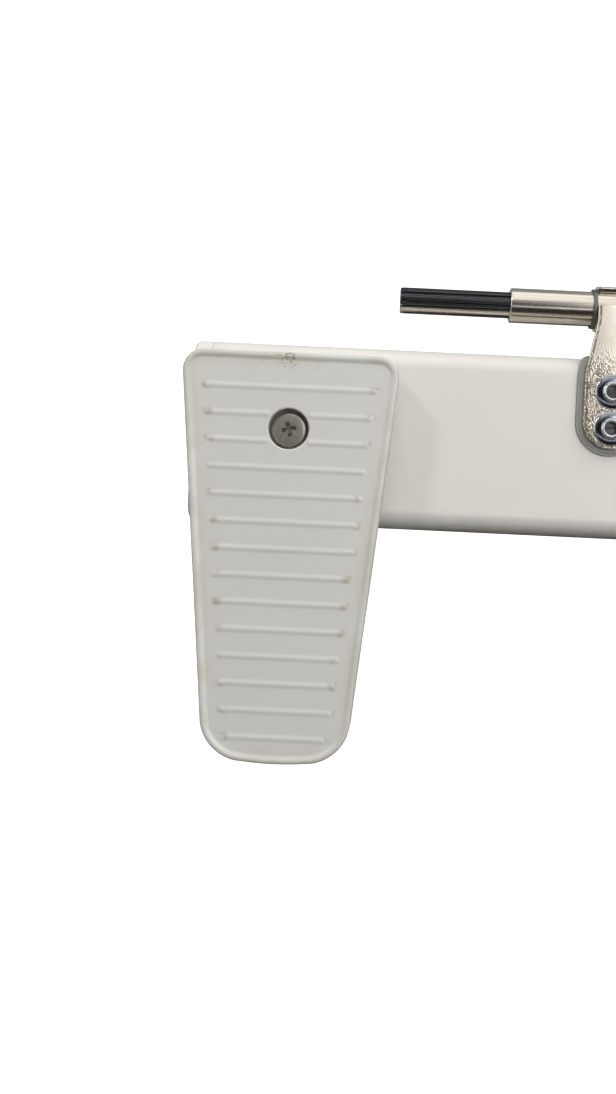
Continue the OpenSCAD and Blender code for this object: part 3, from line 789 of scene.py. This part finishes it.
materials = {
    "paddlePlastic": paddleMaterial(paddleSet, ribSet, pivot),
    "whiteCoat": plasticMaterial("whiteCoat", (0.745, 0.73, 0.695, 1), (0.725, 0.71, 0.67, 1), 0.32, 1100.0, 0.1),
    "whitePlastic": plasticMaterial("whitePlastic", (0.76, 0.75, 0.715, 1), (0.73, 0.715, 0.675, 1), 0.4),
    "brightNickel": drawnMetalMaterial("brightNickel", (0.88, 0.83, 0.73, 1), (0.38, 0.33, 0.26, 1), 0.17),
    # the bolt rod gets a bright band painted along its lower front, a painted reflection
    "darkSteel": drawnMetalMaterial("darkSteel", (0.115, 0.122, 0.13, 1), (0.05, 0.054, 0.06, 1), 0.25, 0.2, 1400.0,
                                    ((0.78, 0.72, 0.62, 1), -1.9 * mm, -2.75 * mm)),
    # the bracket sheet has real pits plus a painted edge highlight and a painted shade line inside it
    "pittedNickel": pittedMaterial("pittedNickel", bracketSet, leafX),
    # the rivets' dished flanges carry a painted dark reflection
    "brightRivet": rivetMaterial("brightRivet", leafX, (rivetLow.z + rivetHigh.z) / 2,
                                 (rivetHigh.z - rivetLow.z) / 2 - flangeR),
    "dullSteel": metalMaterial("dullSteel", (0.50, 0.47, 0.42, 1), (0.36, 0.34, 0.30, 1), 0.35),
    "zincSteel": metalMaterial("zincSteel", (0.66, 0.67, 0.68, 1), (0.52, 0.53, 0.54, 1), 0.3),
    "springSteel": metalMaterial("springSteel", (0.26, 0.255, 0.24, 1), (0.18, 0.175, 0.165, 1), 0.35),
    "yellowZinc": metalMaterial("yellowZinc", (0.76, 0.67, 0.42, 1), (0.62, 0.52, 0.36, 1), 0.3),
    "brass": metalMaterial("brass", (0.72, 0.58, 0.30, 1), (0.58, 0.45, 0.22, 1), 0.28),
    "nylon": plasticMaterial("nylon", (0.86, 0.84, 0.77, 1), (0.82, 0.79, 0.70, 1), 0.45),
    "blackPlastic": plasticMaterial("blackPlastic", (0.035, 0.035, 0.037, 1), (0.02, 0.02, 0.021, 1), 0.45, 1500.0,
                                    0.25),
    "greyPad": plasticMaterial("greyPad", (0.38, 0.38, 0.35, 1), (0.29, 0.29, 0.265, 1), 0.7, 900.0, 0.3),
    "softRubber": plasticMaterial("softRubber", (0.15, 0.15, 0.145, 1), (0.11, 0.11, 0.105, 1), 0.7, 900.0, 0.2),
}

slotMaterials = {
    "bright_nickel": "brightNickel", "brass": "brass", "spring_steel": "springSteel", "natural_nylon": "nylon",
    "dark_steel": "darkSteel", "black_plastic": "blackPlastic", "zinc_steel": "zincSteel", "white_coat": "whiteCoat",
    "white_plastic": "whitePlastic", "pitted_nickel": "pittedNickel", "grey_pad": "greyPad",
    "bright_rivet": "brightRivet", "yellow_zinc": "yellowZinc", "dull_steel": "dullSteel",
    "paddle_plastic": "paddlePlastic", "soft_rubber": "softRubber",
}
for part in frame["record"]["subparts"]:
    node = nodes[part["node"]]
    node.data.materials.clear()
    node.data.materials.append(materials[slotMaterials[part["material_slot"]]])
print("materials are made:", len(materials))


def block(name, low, high):
    # a cube between two corners
    bpy.ops.object.select_all(action="DESELECT")
    bpy.ops.mesh.primitive_cube_add(size=1, location=[(a + b) / 2 for a, b in zip(low, high)],
                                    scale=[b - a for a, b in zip(low, high)])
    piece = bpy.context.object
    piece.name = name
    settle(piece)
    return piece


def frontFaces(piece, y):
    return choose(piece, "FACE", lambda f: f.normal.y < -0.9 and abs(middle(f).y - y) < 0.01 * mm)


def roundEdgeRing(piece, x, z, radius, y, width, segments=3):
    # eases a round edge that lies flat at y
    roundOff(piece, lambda e: all(abs(math.hypot(v.co.x - x, v.co.z - z) - radius) < 0.02 * mm
                                  and abs(v.co.y - y) < 0.01 * mm for v in e.verts), width, segments)


# paddle, front half

def paddleHalf(z, settings=paddleSet):
    taper = (settings["topHalf"] - settings["lowHalf"]) / (settings["above"] + settings["below"])
    return settings["lowHalf"] + taper * (z + settings["below"])


def paddleOutline(name, inset, y, settings=paddleSet):
    top = settings["above"] - inset
    low = -settings["below"] + settings["sag"] + inset
    wide, narrow = paddleHalf(top) - inset, paddleHalf(low) - inset
    topRound = max(settings["topRound"] - inset, 0.6 * mm)
    lowRound = max(settings["lowRound"] - inset, 0.6 * mm)
    corners = [(wide, top, topRound, 10), (-wide, top, topRound, 10), (-narrow, low, lowRound, 16),
               (0, low - settings["sag"], settings["sagRound"], 10), (narrow, low, lowRound, 16)]
    return outline(name, [(pivotX + x, pivotZ + z, r, n) for x, z, r, n in corners], y)


def steps(insets):
    for thickness, lift in insets:
        bpy.ops.mesh.inset(thickness=thickness * mm, depth=lift * mm)


def makeRibs(settings=ribSet):
    half = max(r for lift, r in settings["bell"]) * mm
    master = turned("rib", [(faceY - lift * mm, r * mm) for lift, r in settings["bell"]], (pivotX, 0, pivotZ), "Y", 32)
    ribs = []
    clear = paddleSet["recess"] + settings["clear"]
    for i in range(settings["count"]):
        z = paddleSet["above"] - settings["first"] - i * settings["pitch"]
        reach = paddleHalf(z) - settings["margin"] - (settings["lastNarrowing"] if i == settings["count"] - 1 else 0)
        spans = [(-reach, reach)]
        if abs(z) < clear:
            inner = math.sqrt(clear ** 2 - z ** 2)
            spans = [(-reach, -inner), (inner, reach)]
        for start, end in spans:
            rib = copyOf(master)
            editAll(rib)
            bpy.ops.transform.translate(value=((start + end) / 2, 0, z))
            centre = pivotX + (start + end) / 2
            for side in (-1, 1):
                choose(rib, "VERT", lambda v: (v.co.x - centre) * side > 0.02 * mm)
                bpy.ops.transform.translate(value=(side * ((end - start) / 2 - half), 0, 0))
            leave()
            ribs.append(rib)
    bpy.data.objects.remove(master)
    return together(ribs)


def makePaddleFront(settings=paddleSet):
    startY = rimY + settings["rimStart"]
    shell = thicken(paddleOutline("paddleShell", 0, startY), seamY - startY)
    frontFaces(shell, startY)
    steps(settings["rimSteps"])
    leave()
    hollow = thicken(paddleOutline("hollow", settings["wall"], faceY + settings["wall"]), seamY - faceY)
    combine(shell, hollow)
    drill(shell, pivot, faceY + 0.5 * mm, settings["tubeEnd"], settings["tube"], how="UNION")
    for x, z in settings["bosses"]:
        at = (pivotX + x, pivotZ + z)
        drill(shell, at, faceY + 0.5 * mm, seamY, settings["boss"], 32, "UNION")
        drill(shell, at, faceY + 1.2 * mm, seamY + mm, settings["pilot"], 24)
    drill(shell, pivot, faceY - mm, seamY + mm, settings["recess"], 72)
    holeZ = pivotZ - settings["smallDrop"]
    drill(shell, (pivotX, holeZ), faceY - mm, faceY + 1.5 * mm, settings["smallHole"], 32)
    roundEdgeRing(shell, pivotX, pivotZ, settings["recess"], faceY, settings["recessEase"], 4)
    roundEdgeRing(shell, pivotX, holeZ, settings["smallHole"], faceY, 0.12 * mm)
    shell = together([shell, makeRibs()])
    finishPiece(shell, "paddleShell", "paddle", ["paddle_front"], "paddle_plastic", 40)


makePaddleFront()


# paddle, back half

backSet = {
    "ease": 0.6 * mm, "hub": 6.25 * mm, "bore": 3.25 * mm, "slotMiddle": 11 * mm, "slotHalf": 1.7 * mm,
    "sweep": 90.5, "clearance": 1.1 * mm, "head": 2.4 * mm, "headDepth": 1.2 * mm,
}


def roundEnd(a, way, settings=backSet):
    # points round one end of the arc slot, from its outer side for way 1 and from its inner side for -1
    points = []
    for i in range(1, 10):
        b = math.radians(18 * i)
        out, along = way * math.cos(b) * settings["slotHalf"], way * math.sin(b) * settings["slotHalf"]
        points.append(((settings["slotMiddle"] + out) * math.sin(a) + along * math.cos(a),
                       (settings["slotMiddle"] + out) * math.cos(a) - along * math.sin(a)))
    return points


def makePaddleBack(settings=backSet):
    low, high = boxOf("paddle_back")
    backY = high.y
    plate = thicken(paddleOutline("paddleBacking", 0, seamY + 0.02 * mm), backY - seamY - 0.02 * mm)
    roundOff(plate, lambda e: all(v.co.y > backY - 0.01 * mm for v in e.verts), settings["ease"], 4)
    roundOff(plate, lambda e: all(v.co.y < seamY + 0.03 * mm for v in e.verts), 0.12 * mm, 2)
    drill(plate, pivot, low.y, seamY + 0.3 * mm, settings["hub"], 64, "UNION")
    drill(plate, pivot, low.y - mm, backY + mm, settings["bore"], 64)
    turns = [math.radians(settings["sweep"] * (i / 30 - 1)) for i in range(61)]
    centre, half = settings["slotMiddle"], settings["slotHalf"]
    path = [((centre + half) * math.sin(a), (centre + half) * math.cos(a)) for a in turns]
    path += roundEnd(turns[-1], 1)
    path += [((centre - half) * math.sin(a), (centre - half) * math.cos(a)) for a in reversed(turns)]
    path += roundEnd(turns[0], -1)
    slot = trace("slot", [(pivotX + x, seamY - mm, pivotZ + z) for x, z in path])
    takeAll()
    bpy.ops.mesh.edge_face_add()
    leave()
    thicken(slot, backY - seamY + 2 * mm)
    combine(plate, slot)
    for x, z in paddleSet["bosses"]:
        at = (pivotX + x, pivotZ + z)
        drill(plate, at, seamY - mm, backY + mm, settings["clearance"], 32)
        drill(plate, at, backY - settings["headDepth"], backY + mm, settings["head"])
        roundEdgeRing(plate, at[0], at[1], settings["head"], backY, 0.15 * mm)
    finishPiece(plate, "paddleBacking", "paddle", ["paddle_back"], "paddle_plastic", 40)


makePaddleBack()


# bar: box section and its end caps

railSet = {"round": 4.5 * mm, "wall": 1.5 * mm, "segments": 14, "seamEase": 0.28 * mm, "insert": 3 * mm,
           "pin": 1.5 * mm}
capSet = {"length": 4 * mm, "plug": 8 * mm, "inner": 1.6 * mm, "hollow": 3.0 * mm, "floor": 1.6 * mm, "ease": 0.9 * mm}
railLow, railHigh = boxOf("rail")


def sectionBlock(name, start, end, inset, settings=railSet):
    # the bar's cross-section between two places along X
    piece = block(name, (start, railLow.y + inset, railLow.z + inset), (end, railHigh.y - inset, railHigh.z - inset))
    roundOff(piece, lambda e: abs(e.verts[0].co.x - e.verts[1].co.x) > 0.5 * (end - start),
             max(settings["round"] - inset, 0.5 * mm), settings["segments"])
    return piece


def easeEnd(piece, x, width, segments=3):
    roundOff(piece, lambda e: all(abs(v.co.x - x) < 0.005 * mm for v in e.verts)
             and min(abs(middle(e).y - railLow.y), abs(middle(e).y - railHigh.y),
                     abs(middle(e).z - railLow.z), abs(middle(e).z - railHigh.z)) < 1.4 * mm, width, segments)


def makeRail(settings=railSet):
    bar = sectionBlock("rail", railLow.x, railHigh.x, 0)
    easeEnd(bar, railLow.x, settings["seamEase"])
    easeEnd(bar, railHigh.x, settings["seamEase"])
    combine(bar, sectionBlock("inside", railLow.x - mm, railHigh.x + mm, settings["wall"]))
    holes = [(pivotX, pivotZ, settings["insert"]), (pivotX, pivotZ + backSet["slotMiddle"], settings["pin"])]
    holes += [(leafX, z, bracketSet["hole"]) for z in rivetZs]
    for x, z, radius in holes:
        drill(bar, (x, z), railLow.y - mm, railLow.y + 2 * mm, radius)
    finishPiece(bar, "railTube", "bar", ["rail"], "white_coat", 30)


def makeCap(name, node, outerX, seamX, settings=capSet):
    way = 1 if seamX > outerX else -1
    cap = sectionBlock(name, min(outerX, seamX), max(outerX, seamX), 0)
    easeEnd(cap, outerX, settings["ease"], 6)
    easeEnd(cap, seamX, railSet["seamEase"])
    near, far = seamX - way * 0.5 * mm, seamX + way * settings["plug"]
    combine(cap, sectionBlock("plug", min(near, far), max(near, far), settings["inner"]), "UNION")
    floor, out = outerX + way * (settings["floor"] + 0.8 * mm), far + way * mm
    combine(cap, sectionBlock("hollow", min(floor, out), max(floor, out), settings["hollow"]))
    finishPiece(cap, name, "bar", [node], "white_plastic", 30)


makeRail()
capLeft, capRight = boxOf("rail_cap_left"), boxOf("rail_cap_right")
makeCap("capLeft", "rail_cap_left", capLeft[0].x, railLow.x)
makeCap("capRight", "rail_cap_right", capRight[1].x, railHigh.x)


# hinge bracket: rolled sheet, pad and rivets

padSet = {"border": 1.5 * mm, "top": -11.5 * mm, "topRound": 1.6 * mm,
          "ridges": [(0.0, 0.0), (0.12, 0.22), (0.2, 0.03), (0.06, -0.05), (0.12, 0.0), (0.06, 0.05), (0.1, 0.2)]}
padBox = boxOf("bracket_pad")
leafBack = padBox[0].y


def makeBracket(settings=bracketSet):
    barrel = boxOf("hinge_bracket")
    startX, endX = leafX - settings["neck"], leafX + settings["neck"]
    inner, outer = settings["bore"], settings["bore"] + settings["sheet"]
    w, neck = settings["wide"], settings["neck"]
    corners = [(w, -settings["length"], w - 0.05 * mm, 20), (w, settings["wideStart"], settings["wideRound"], 8),
               (neck, settings["neckEnd"], settings["neckRound"], 8), (neck, 0, 0, 0), (-neck, 0, 0, 0),
               (-neck, settings["neckEnd"], settings["neckRound"], 8), (-w, settings["wideStart"],
                                                                        settings["wideRound"], 8),
               (-w, -settings["length"], w - 0.05 * mm, 20)]
    leaf = outline("hingeLeaf", [(leafX + x, z, r, n) for x, z, r, n in corners], -outer)
    thicken(leaf, leafBack + outer)
    for z in rivetZs:
        drill(leaf, (leafX, z), -outer - mm, leafBack + mm, settings["hole"])
    choose(leaf, "FACE", lambda f: f.normal.z > 0.9 and abs(middle(f).z) < 0.01 * mm)
    bpy.ops.mesh.delete(type="ONLY_FACE")
    choose(leaf, "VERT", lambda v: abs(v.co.z) < 0.01 * mm and v.co.y > -outer + 0.3 * mm)
    bpy.ops.transform.translate(value=(0, -inner - leafBack, 0))
    leave()
    roll = trace("roll", [(startX, -outer, 0), (endX, -outer, 0), (endX, -inner, 0), (startX, -inner, 0)])
    takeAll()
    bpy.ops.mesh.spin(steps=settings["rollSteps"], angle=-math.radians(settings["roll"]), center=(0, 0, 0),
                      axis=(1, 0, 0))
    bpy.ops.mesh.edge_face_add()
    leave()
    piece = together([leaf, roll])
    tidyUp(piece)
    ease(piece, settings["ease"], 3, 50)
    finishPiece(piece, "hingeLeaf", "bar", ["hinge_bracket"], "pitted_nickel", 40)


def makePad(settings=padSet, leaf=bracketSet):
    w = leaf["wide"] + settings["border"]
    low = -leaf["length"] - settings["border"]
    share = (leaf["neckEnd"] - settings["top"]) / (leaf["neckEnd"] - leaf["wideStart"])
    topHalf = leaf["neck"] + (leaf["wide"] - leaf["neck"]) * share + settings["border"]
    corners = [(w, low, w - 0.05 * mm, 24), (w, leaf["wideStart"], leaf["wideRound"], 8),
               (topHalf, settings["top"], settings["topRound"], 6),
               (-topHalf, settings["top"], settings["topRound"], 6), (-w, leaf["wideStart"], leaf["wideRound"], 8),
               (-w, low, w - 0.05 * mm, 24)]
    startY = padBox[1].y - 0.35 * mm
    pad = outline("bracketPad", [(leafX + x, z, r, n) for x, z, r, n in corners], startY)
    thicken(pad, padBox[1].y - startY)
    frontFaces(pad, startY)
    steps(settings["ridges"])
    leave()
    for z in rivetZs:
        drill(pad, (leafX, z), padBox[0].y - mm, padBox[1].y + mm, leaf["hole"])
    finishPiece(pad, "bracketPad", "bar", ["bracket_pad"], "grey_pad", 40)


rivetSet = {
    "profile": [(0.0, 2.0), (0.0, 3.85), (-0.1, 3.97), (-0.22, 4.0), (-0.34, 3.95), (-0.42, 3.82), (-0.55, 3.45),
                (-0.65, 3.1), (-0.71, 2.75), (-0.735, 2.5), (-0.74, 2.34), (-0.8, 2.26), (-0.95, 2.21), (-1.07, 2.13),
                (-1.14, 1.99), (-1.15, 1.85), (-1.11, 1.7), (-1.0, 1.57), (-0.8, 1.47), (-0.5, 1.45)],
    "bulb": [(0.0, 2.0), (0.0, 3.0), (0.4, 3.12), (1.6, 3.1), (3.0, 2.8), (3.8, 2.2), (4.0, 1.45)],
}


def makeRivets(settings=rivetSet):
    front = rivetLow.y - min(a for a, r in settings["profile"]) * mm
    back = rivetHigh.y - max(a for a, r in settings["bulb"]) * mm
    profile = [(front + a * mm, r * mm) for a, r in reversed(settings["profile"])]
    profile += [(back + a * mm, r * mm) for a, r in settings["bulb"]]
    first = turned("rivet", profile, (leafX, 0, rivetZs[0]), "Y", 72)
    second = copyOf(first)
    editAll(second)
    bpy.ops.transform.translate(value=(0, 0, rivetZs[1] - rivetZs[0]))
    leave()
    finishPiece(together([first, second]), "rivets", "bar", ["bracket_rivets"], "bright_rivet", 50)


makeBracket()
makePad()
makeRivets()


# sleeve, bolt and knob

sleeveSet = {"outer": 4.0 * mm, "bore": 3.05 * mm, "ease": 0.35 * mm, "grooveWide": 0.9 * mm, "toothLong": 3 * mm,
             "toothWide": 0.6 * mm, "toothDeep": 0.35 * mm, "teeth": (22.5, 202.5)}


def makeSleeve(settings=sleeveSet):
    low, high = boxOf("spindle_sleeve")
    ringA, ringB = boxOf("snap_ring"), boxOf("retaining_ring")
    outer, bore, e = settings["outer"], settings["bore"], settings["ease"]
    grooveR = outer - 0.4 * mm
    profile = [(low.x, bore + 0.1 * mm), (low.x, outer - e), (low.x + 0.12 * mm, outer - 0.12 * mm), (low.x + e, outer)]
    for ring in (ringA, ringB):
        a = (ring[0].x + ring[1].x - settings["grooveWide"]) / 2
        b = a + settings["grooveWide"]
        profile += [(a - 0.05 * mm, outer), (a, outer - 0.05 * mm), (a, grooveR), (b, grooveR),
                    (b, outer - 0.05 * mm), (b + 0.05 * mm, outer)]
    profile += [(high.x - e, outer), (high.x - 0.12 * mm, outer - 0.12 * mm), (high.x, outer - e),
                (high.x, bore + 0.1 * mm),
                (high.x - 0.1 * mm, bore), (low.x + 0.1 * mm, bore)]
    sleeve = turned("sleeve", profile, (0, 0, 0), "X", 96)
    start = low.x + 0.4 * mm
    for turn in settings["teeth"]:
        tooth = block("tooth", (start, -settings["toothWide"] / 2, bore - settings["toothDeep"]),
                      (start + settings["toothLong"], settings["toothWide"] / 2, bore + 0.2 * mm))
        turnRound(tooth, turn, "X", (0, 0, 0))
        combine(sleeve, tooth, "UNION")
    finishPiece(sleeve, "sleeveTube", "spindle", ["spindle_sleeve"], "bright_nickel", 35)


pinLow, pinHigh = boxOf("knob_pin")
pinX, pinR = (pinLow.x + pinHigh.x) / 2, 0.6 * mm
boltSet = {"crown": (1.12 * mm, 1.7 * mm), "radius": 3.0 * mm, "stem": 1.5 * mm, "flutes": 8, "flute": 0.6 * mm,
           "shoulder": -8.0 * mm, "fluteEnd": -9.5 * mm, "ease": 0.1 * mm}


def makeBolt(settings=boltSet):
    low, high = boxOf("bolt_rod")
    r = settings["radius"]
    profile = [(low.x + 0.5 * mm, 0), (low.x, 0.9 * mm), (low.x, r - 0.35 * mm), (low.x + 0.1 * mm, r - 0.12 * mm),
               (low.x + 0.35 * mm, r),
               (settings["shoulder"] - 0.3 * mm, r), (settings["shoulder"], r - 0.3 * mm), (settings["shoulder"],
                                                                                            settings["stem"]),
               (high.x - 0.3 * mm, settings["stem"]), (high.x, settings["stem"] - 0.3 * mm), (high.x, 0)]
    bolt = turned("boltRod", profile, (0, 0, 0), "X", 128)
    flare, depth = settings["crown"]
    groove = [(low.x - mm, 0), (low.x - mm, flare), (low.x - 0.05 * mm, flare), (low.x + depth, settings["flute"]),
              (settings["fluteEnd"], settings["flute"]), (settings["fluteEnd"], 0)]
    for i in range(settings["flutes"]):
        a = 2 * math.pi * (i + 0.5) / settings["flutes"]
        combine(bolt, turned("flute", groove, (0, -r * math.sin(a), r * math.cos(a)), "X", 24))
    combine(bolt, rod("pinHole", (pinX, -5 * mm, 0), (pinX, 5 * mm, 0), pinR, 32))
    roundOff(bolt, lambda e: middle(e).x < settings["fluteEnd"] + 0.1 * mm and len(e.link_faces) == 2
             and e.calc_face_angle(0) > math.radians(40) and abs(e.verts[0].co.x - e.verts[1].co.x) > mm,
             settings["ease"], 2)
    finishPiece(bolt, "boltRod", "bolt", ["bolt_rod"], "dark_steel", 35)


knobSet = {"radius": 7.0 * mm, "ease": 1.0 * mm, "grips": 12, "grip": 1.0 * mm, "gripAt": 7.5 * mm, "bore": 1.5 * mm,
           "cap": 1.5 * mm}


def makeKnob(settings=knobSet):
    low, high = boxOf("pull_knob")
    r, e = settings["radius"], settings["ease"]
    profile = [(low.x, settings["bore"]), (low.x, r - e)]
    profile += [(low.x + e - e * math.cos(a),
                 r - e + e * math.sin(a)) for a in (math.radians(10 * i) for i in range(1, 10))]
    profile += [(high.x - e + e * math.sin(a),
                 r - e + e * math.cos(a)) for a in (math.radians(10 * i) for i in range(0, 10))]
    profile += [(high.x, 3.4 * mm), (high.x - 0.25 * mm, 3.1 * mm), (high.x - 0.25 * mm, 0),
                (high.x - settings["cap"], 0),
                (high.x - settings["cap"], settings["bore"])]
    knob = turned("pullKnob", profile, (0, 0, 0), "X", 96)
    cutters = []
    for i in range(settings["grips"]):
        a = 2 * math.pi * (i + 0.5) / settings["grips"]
        y, z = -settings["gripAt"] * math.sin(a), settings["gripAt"] * math.cos(a)
        cutters.append(rod("grip", (low.x - mm, y, z), (high.x + mm, y, z), settings["grip"], 32))
    combine(knob, together(cutters))
    combine(knob, rod("pinHole", (pinX, -9 * mm, 0), (pinX, 9 * mm, 0), pinR, 32))
    finishPiece(knob, "pullKnob", "bolt", ["pull_knob"], "black_plastic", 35)


springSet = {"turns": 15, "wire": 0.35 * mm, "radius": 2.275 * mm, "rest": 31.5 * mm, "shortens": 18.25 * mm}


def makeSpring(settings=springSet):
    # a wire's cross-section wound along the bolt's stem at one length; the real spring shortens as the bolt is drawn
    # back
    low, high = boxOf("bolt_spring")
    bpy.ops.object.select_all(action="DESELECT")
    bpy.ops.mesh.primitive_circle_add(vertices=12, radius=settings["wire"], fill_type="NGON",
                                      location=(0, 0, settings["radius"]), rotation=(math.pi / 2, 0, 0))
    coil = bpy.context.object
    settle(coil)
    step = coil.modifiers.new("wind", "SCREW")
    step.axis = "X"
    step.angle = 2 * math.pi * settings["turns"]
    step.screw_offset = high.x - low.x - 2 * settings["wire"]
    step.steps = step.render_steps = 24 * settings["turns"]
    bpy.ops.object.modifier_apply(modifier=step.name)
    editAll(coil)
    bpy.ops.transform.translate(value=(low.x + settings["wire"], 0, 0))
    bpy.ops.mesh.fill_holes(sides=12)
    leave()
    tidyUp(coil)
    finishPiece(coil, "boltSpring", "spindle", ["bolt_spring"], "spring_steel", 40)
    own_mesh(coil)


makeSleeve()
makeBolt()
makeKnob()
makeSpring()


# pivot screw

screwSet = {
    "shank": 2.0 * mm, "crossTurn": 15, "cross": 3.8 * mm, "crossWide": 1.05 * mm, "deep": 1.4 * mm,
    "head": [(0.0, 3.8), (-1.75, 3.8), (-1.95, 3.77), (-2.1, 3.68), (-2.2, 3.5), (-2.27, 3.1), (-2.33, 2.4),
             (-2.38, 1.4), (-2.4, 0.6), (-2.4, 0.0)],
}


def makeScrew(settings=screwSet):
    low, high = boxOf("pivot_screw")
    seat = low.y + 2.4 * mm
    profile = [(seat + a * mm, r * mm) for a, r in reversed(settings["head"])]
    profile += [(seat, settings["shank"]), (high.y - 0.5 * mm, settings["shank"]),
                (high.y, settings["shank"] - 0.5 * mm), (high.y, 0)]
    screw = turned("pivotScrew", profile, (pivotX, 0, pivotZ), "Y", 72)
    for quarter in (0, 90):
        arm = block("arm", (pivotX - settings["cross"] / 2, low.y - 0.5 * mm, pivotZ - settings["crossWide"] / 2),
                    (pivotX + settings["cross"] / 2, low.y + settings["deep"], pivotZ + settings["crossWide"] / 2))
        choose(arm, "VERT", lambda v: v.co.y > low.y + 0.5 * mm)
        bpy.ops.transform.resize(value=(0.45, 1, 0.55))
        turnRound(arm, quarter + settings["crossTurn"], "Y", (pivotX, 0, pivotZ))
        combine(screw, arm)
    for quarter in (45, 135):
        tick = block("tick", (pivotX - 2.6 * mm, low.y - 0.5 * mm, pivotZ - 0.08 * mm),
                     (pivotX + 2.6 * mm, low.y + 0.12 * mm, pivotZ + 0.08 * mm))
        turnRound(tick, quarter + settings["crossTurn"], "Y", (pivotX, 0, pivotZ))
        combine(screw, tick)
    ease(screw, 0.08 * mm, 2, 50)
    finishPiece(screw, "pivotScrew", "bar", ["pivot_screw"], "dull_steel", 35)


makeScrew()
